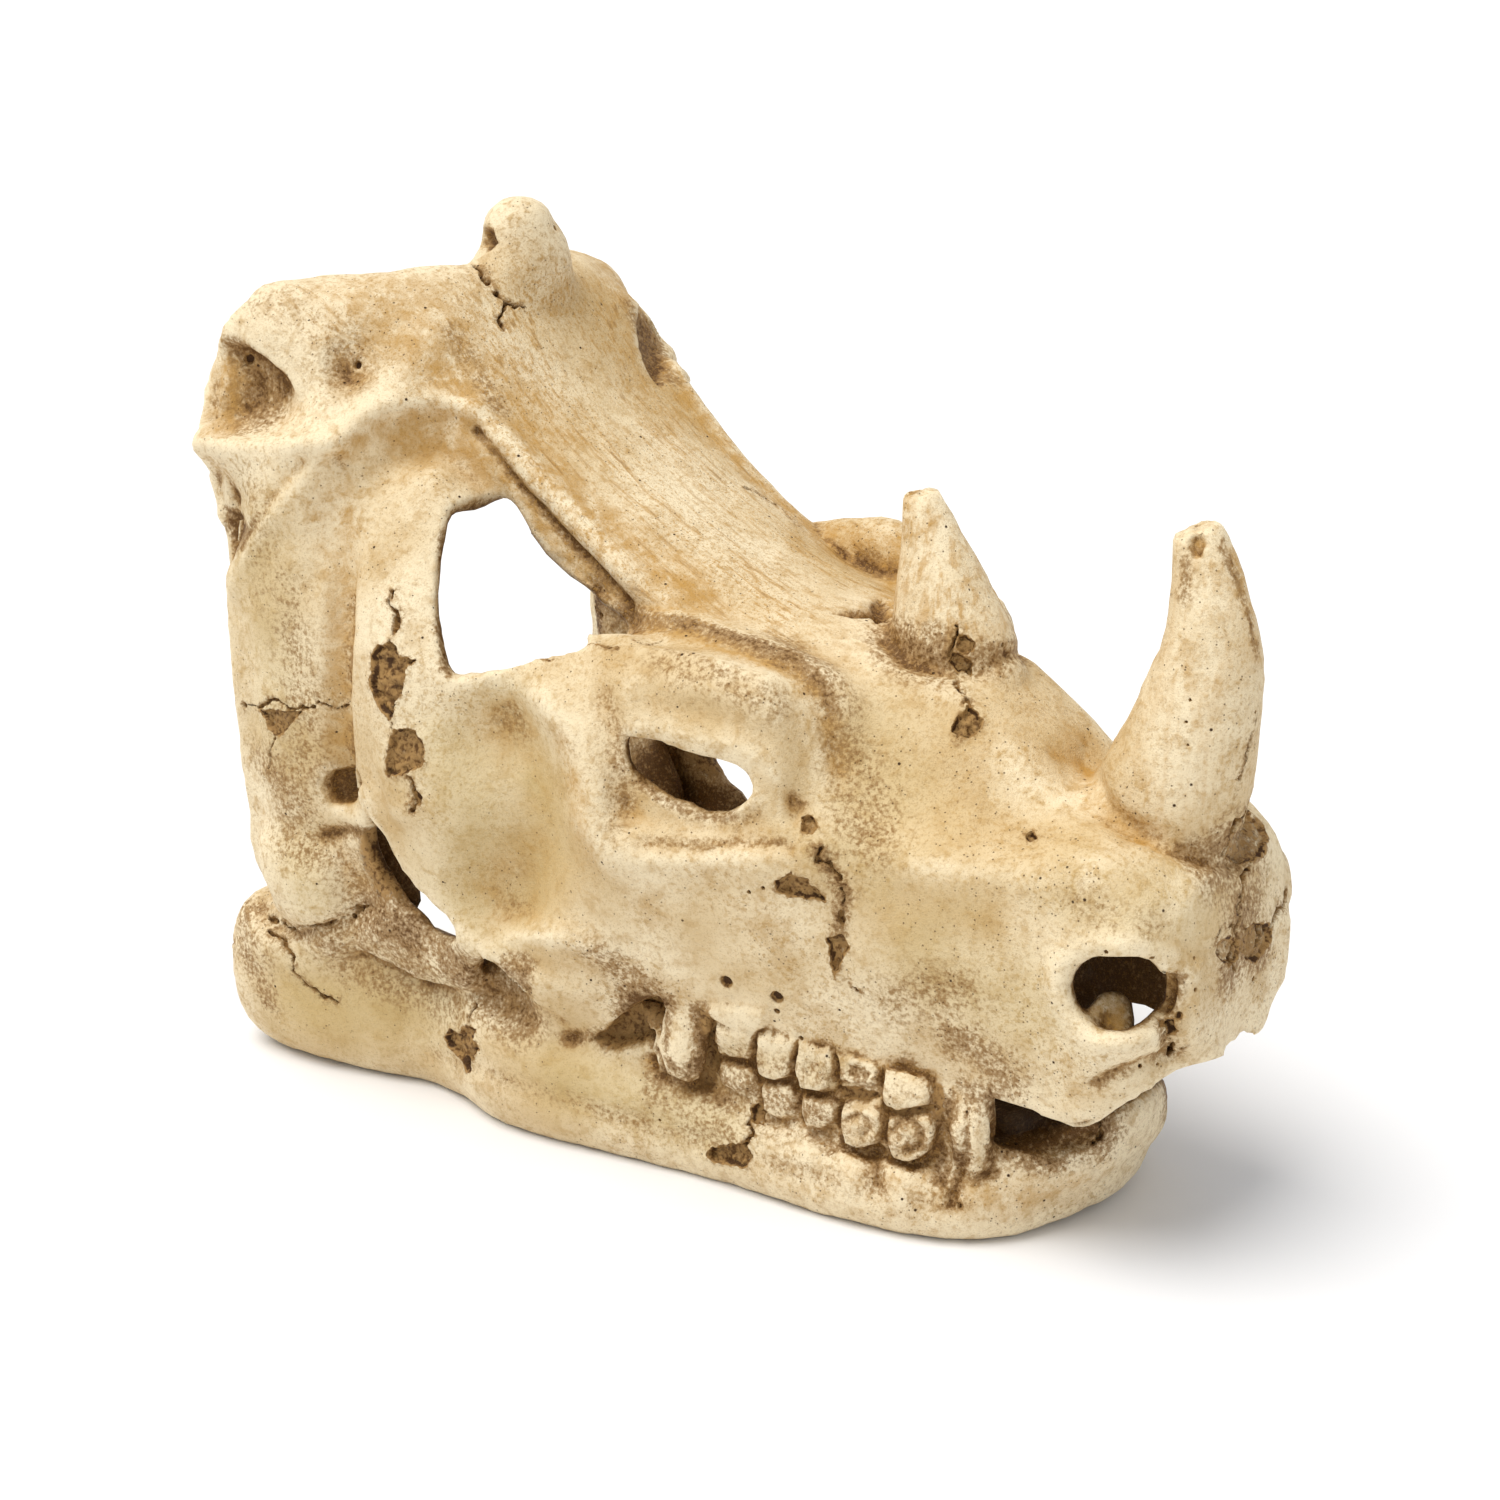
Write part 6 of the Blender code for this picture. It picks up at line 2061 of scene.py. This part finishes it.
    def refine(self, skin: Skin, small: tuple[Mark, ...], reach: float, whole: bool) -> None:
        """Splits the faces near small marks, so that their edges come out crisp.

        Args:
            skin: the skin.
            small: the marks.
            reach: how near, in millimetres.
            whole: whether an outlined mark counts with its inside.
        """
        wanted = np.zeros(len(skin.points), bool)
        for mark in small:
            for twin in mark.sides():
                path = skin.cast(mark, twin)
                if len(path):
                    span = np.linalg.norm(path.max(axis=0) - path.min(axis=0)) / 2
                    limit = max(span, reach) if mark.closed and whole else reach
                    index = skin.around(path, reach + 1)
                    wanted[index[path_distance(skin.points[index], path) < limit]] = True
        with editing(skin.body) as work:
            edges = [work.edges[number] for number in np.flatnonzero(wanted[skin.edges].all(axis=1))]
            bmesh.ops.subdivide_edges(work, edges=edges, cuts=1, use_grid_fill=True)
        old = len(skin.points)
        skin.body.data.update()
        skin.read()
        skin.coats = np.vstack([skin.coats, np.zeros((len(skin.points) - old, len(Coat)))])
        skin.coats[old:] = skin.middle_of_neighbours(skin.coats)[old:]
        skin.look_again()
        log.info("skull refined: %d points", len(skin.points))

    def wash_shade_and_roughen(self, skin: Skin, carver: Carver) -> None:
        """Roughens the skin, tints its hollows brown with the wash and its edges pale, and paints shade brown
        and ochre where the skin hides its sky.
        """
        points = skin.points
        near = skin.smoothed(points, self.near_rounds)
        far = skin.smoothed(near, self.far_rounds)
        hollow = ((far - points) * skin.normals).sum(axis=1)
        crease = ((near - points) * skin.normals).sum(axis=1)
        self.shelter = skin.smoothed(sheltered(points, skin.normals)[:, None], self.shelter_rounds)[:, 0]
        umber = 0.78 * ease(0.15, 1.1, hollow) + 0.4 * ease(0.06, 0.2, crease)
        # painted shade: browner where the skin hides much of its sky, which darkens the insides and what lies
        # under overhangs
        umber += ease(0.42, 0.82, self.shelter)
        everywhere = slice(None)
        # ochre with the wash in the hollows, and ochre painted shade where the skin hides its sky
        skin.tint(everywhere, OCHRE, 0.7 * ease(0.05, 0.7, hollow) + 0.5 * ease(0.3, 0.5, self.shelter))
        skin.tint(everywhere, UMBER, np.clip(umber, 0, 1))
        skin.tint(everywhere, PALE, ease(0.12, 0.8, -hollow) * (1 - ease(0.3, 0.6, self.shelter)))
        carver.move += self.coarse_grain * Grain(9.0, 41).fractal(points, 3)
        carver.move += self.fine_grain * Grain(2.4, 44).fractal(points, 2)

    def store(self, skin: Skin) -> None:
        """Keeps the coats as two colour attributes of the mesh."""
        for name, columns in (("coats_a", skin.coats[:, :4]), ("coats_b", skin.coats[:, 4:])):
            layer = skin.body.data.color_attributes.new(name, "FLOAT_COLOR", "POINT")
            layer.data.foreach_set("color", columns.astype(np.float32).ravel())

    def thin_out(self, body: Body, coats: Array) -> None:
        """Takes faces out of the sheltered inner surfaces, then of the plainer places, down to the limit."""
        hidden = self.shelter > self.hidden_above
        plain = (coats[:, FILL] < 0.05) | hidden
        for name, chosen in (("sheltered", hidden), ("plain", plain)):
            body.vertex_groups.new(name=name).add(np.flatnonzero(chosen).tolist(), 1.0, "REPLACE")
        self.thin(body, "sheltered", 1 - self.hidden_loss * float(hidden.mean()))
        body.data.calc_loop_triangles()
        count = len(body.data.loop_triangles)
        log.info("skull: %d points, %d triangles before the last thinning", len(hidden), count)
        if count > self.most_triangles:
            self.thin(body, "plain", self.most_triangles / count)

    def thin(self, body: Body, group: str, ratio: float) -> None:
        """Collapses faces down to a share of them, those of a vertex group first."""
        thin = body.modifiers.new("thin", "DECIMATE")
        thin.vertex_group = group
        thin.vertex_group_factor = self.keeping
        thin.ratio = ratio
        apply_modifiers(body)


@dataclass(frozen=True)
class Studio:
    """Plain pale floor and soft light."""

    floor_side: float = 400.0  # in metres
    floor_roughness: float = 0.9
    floor_colour: Triple = (0.82, 0.82, 0.835)
    sky: Triple = (0.96, 0.98, 1.0)
    sky_strength: float = 0.68
    sun_from: Triple = (-0.24, -0.45, 1.2)
    sun_colour: Triple = (1.0, 0.975, 0.93)
    sun_strength: float = 2.68
    sun_angle: float = 45.0

    def floor(self) -> Body:
        """Makes the floor."""
        half = self.floor_side / 2 / MM
        corners = np.array(((-half, -half, 0), (half, -half, 0), (half, half, 0), (-half, half, 0)), float)
        floor = add_mesh("floor", corners, [(0, 1, 2, 3)])
        work = Shading("floor_paper")
        work.link(self.floor_colour, work.shader.inputs["Base Color"])
        work.link(self.floor_roughness, work.shader.inputs["Roughness"])
        floor.data.materials.append(work.material)
        return floor

    def soft_box(self) -> Body:
        """Makes the broad soft light from the upper left."""
        data = bpy.data.lights.new("soft_box", "SUN")
        data.energy = self.sun_strength
        data.color = self.sun_colour
        data.angle = math.radians(self.sun_angle)
        lamp = bpy.data.objects.new("soft_box", data)
        lamp.rotation_euler = Vector(self.sun_from).to_track_quat("Z", "Y").to_euler()
        bpy.context.scene.collection.objects.link(lamp)
        return lamp

    def build(self) -> Body:
        """Makes the floor, the light and the sky."""
        self.soft_box()
        world = bpy.data.worlds.new("studio")
        world.use_nodes = True
        back = world.node_tree.nodes["Background"]
        back.inputs["Color"].default_value = (*self.sky, 1.0)
        back.inputs["Strength"].default_value = self.sky_strength
        bpy.context.scene.world = world
        bpy.context.scene.view_settings.view_transform = "Standard"
        return self.floor()


def corners_of(box: tuple[Vector, Vector]) -> list[list[float]]:
    """A box's corners as plain lists."""
    return [[float(value) for value in corner] for corner in box]


def main() -> None:
    """Builds the skull and the studio around the frame."""
    logging.basicConfig(level=logging.INFO, format="%(message)s")
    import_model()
    before = corners_of(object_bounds())
    low, high = (np.array(corner) / MM for corner in before)
    skull = Skull().build(low, high)
    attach(skull, "root")
    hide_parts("skull")
    Studio().build()
    CAMERA.build()


if __name__ == "__main__":
    main()
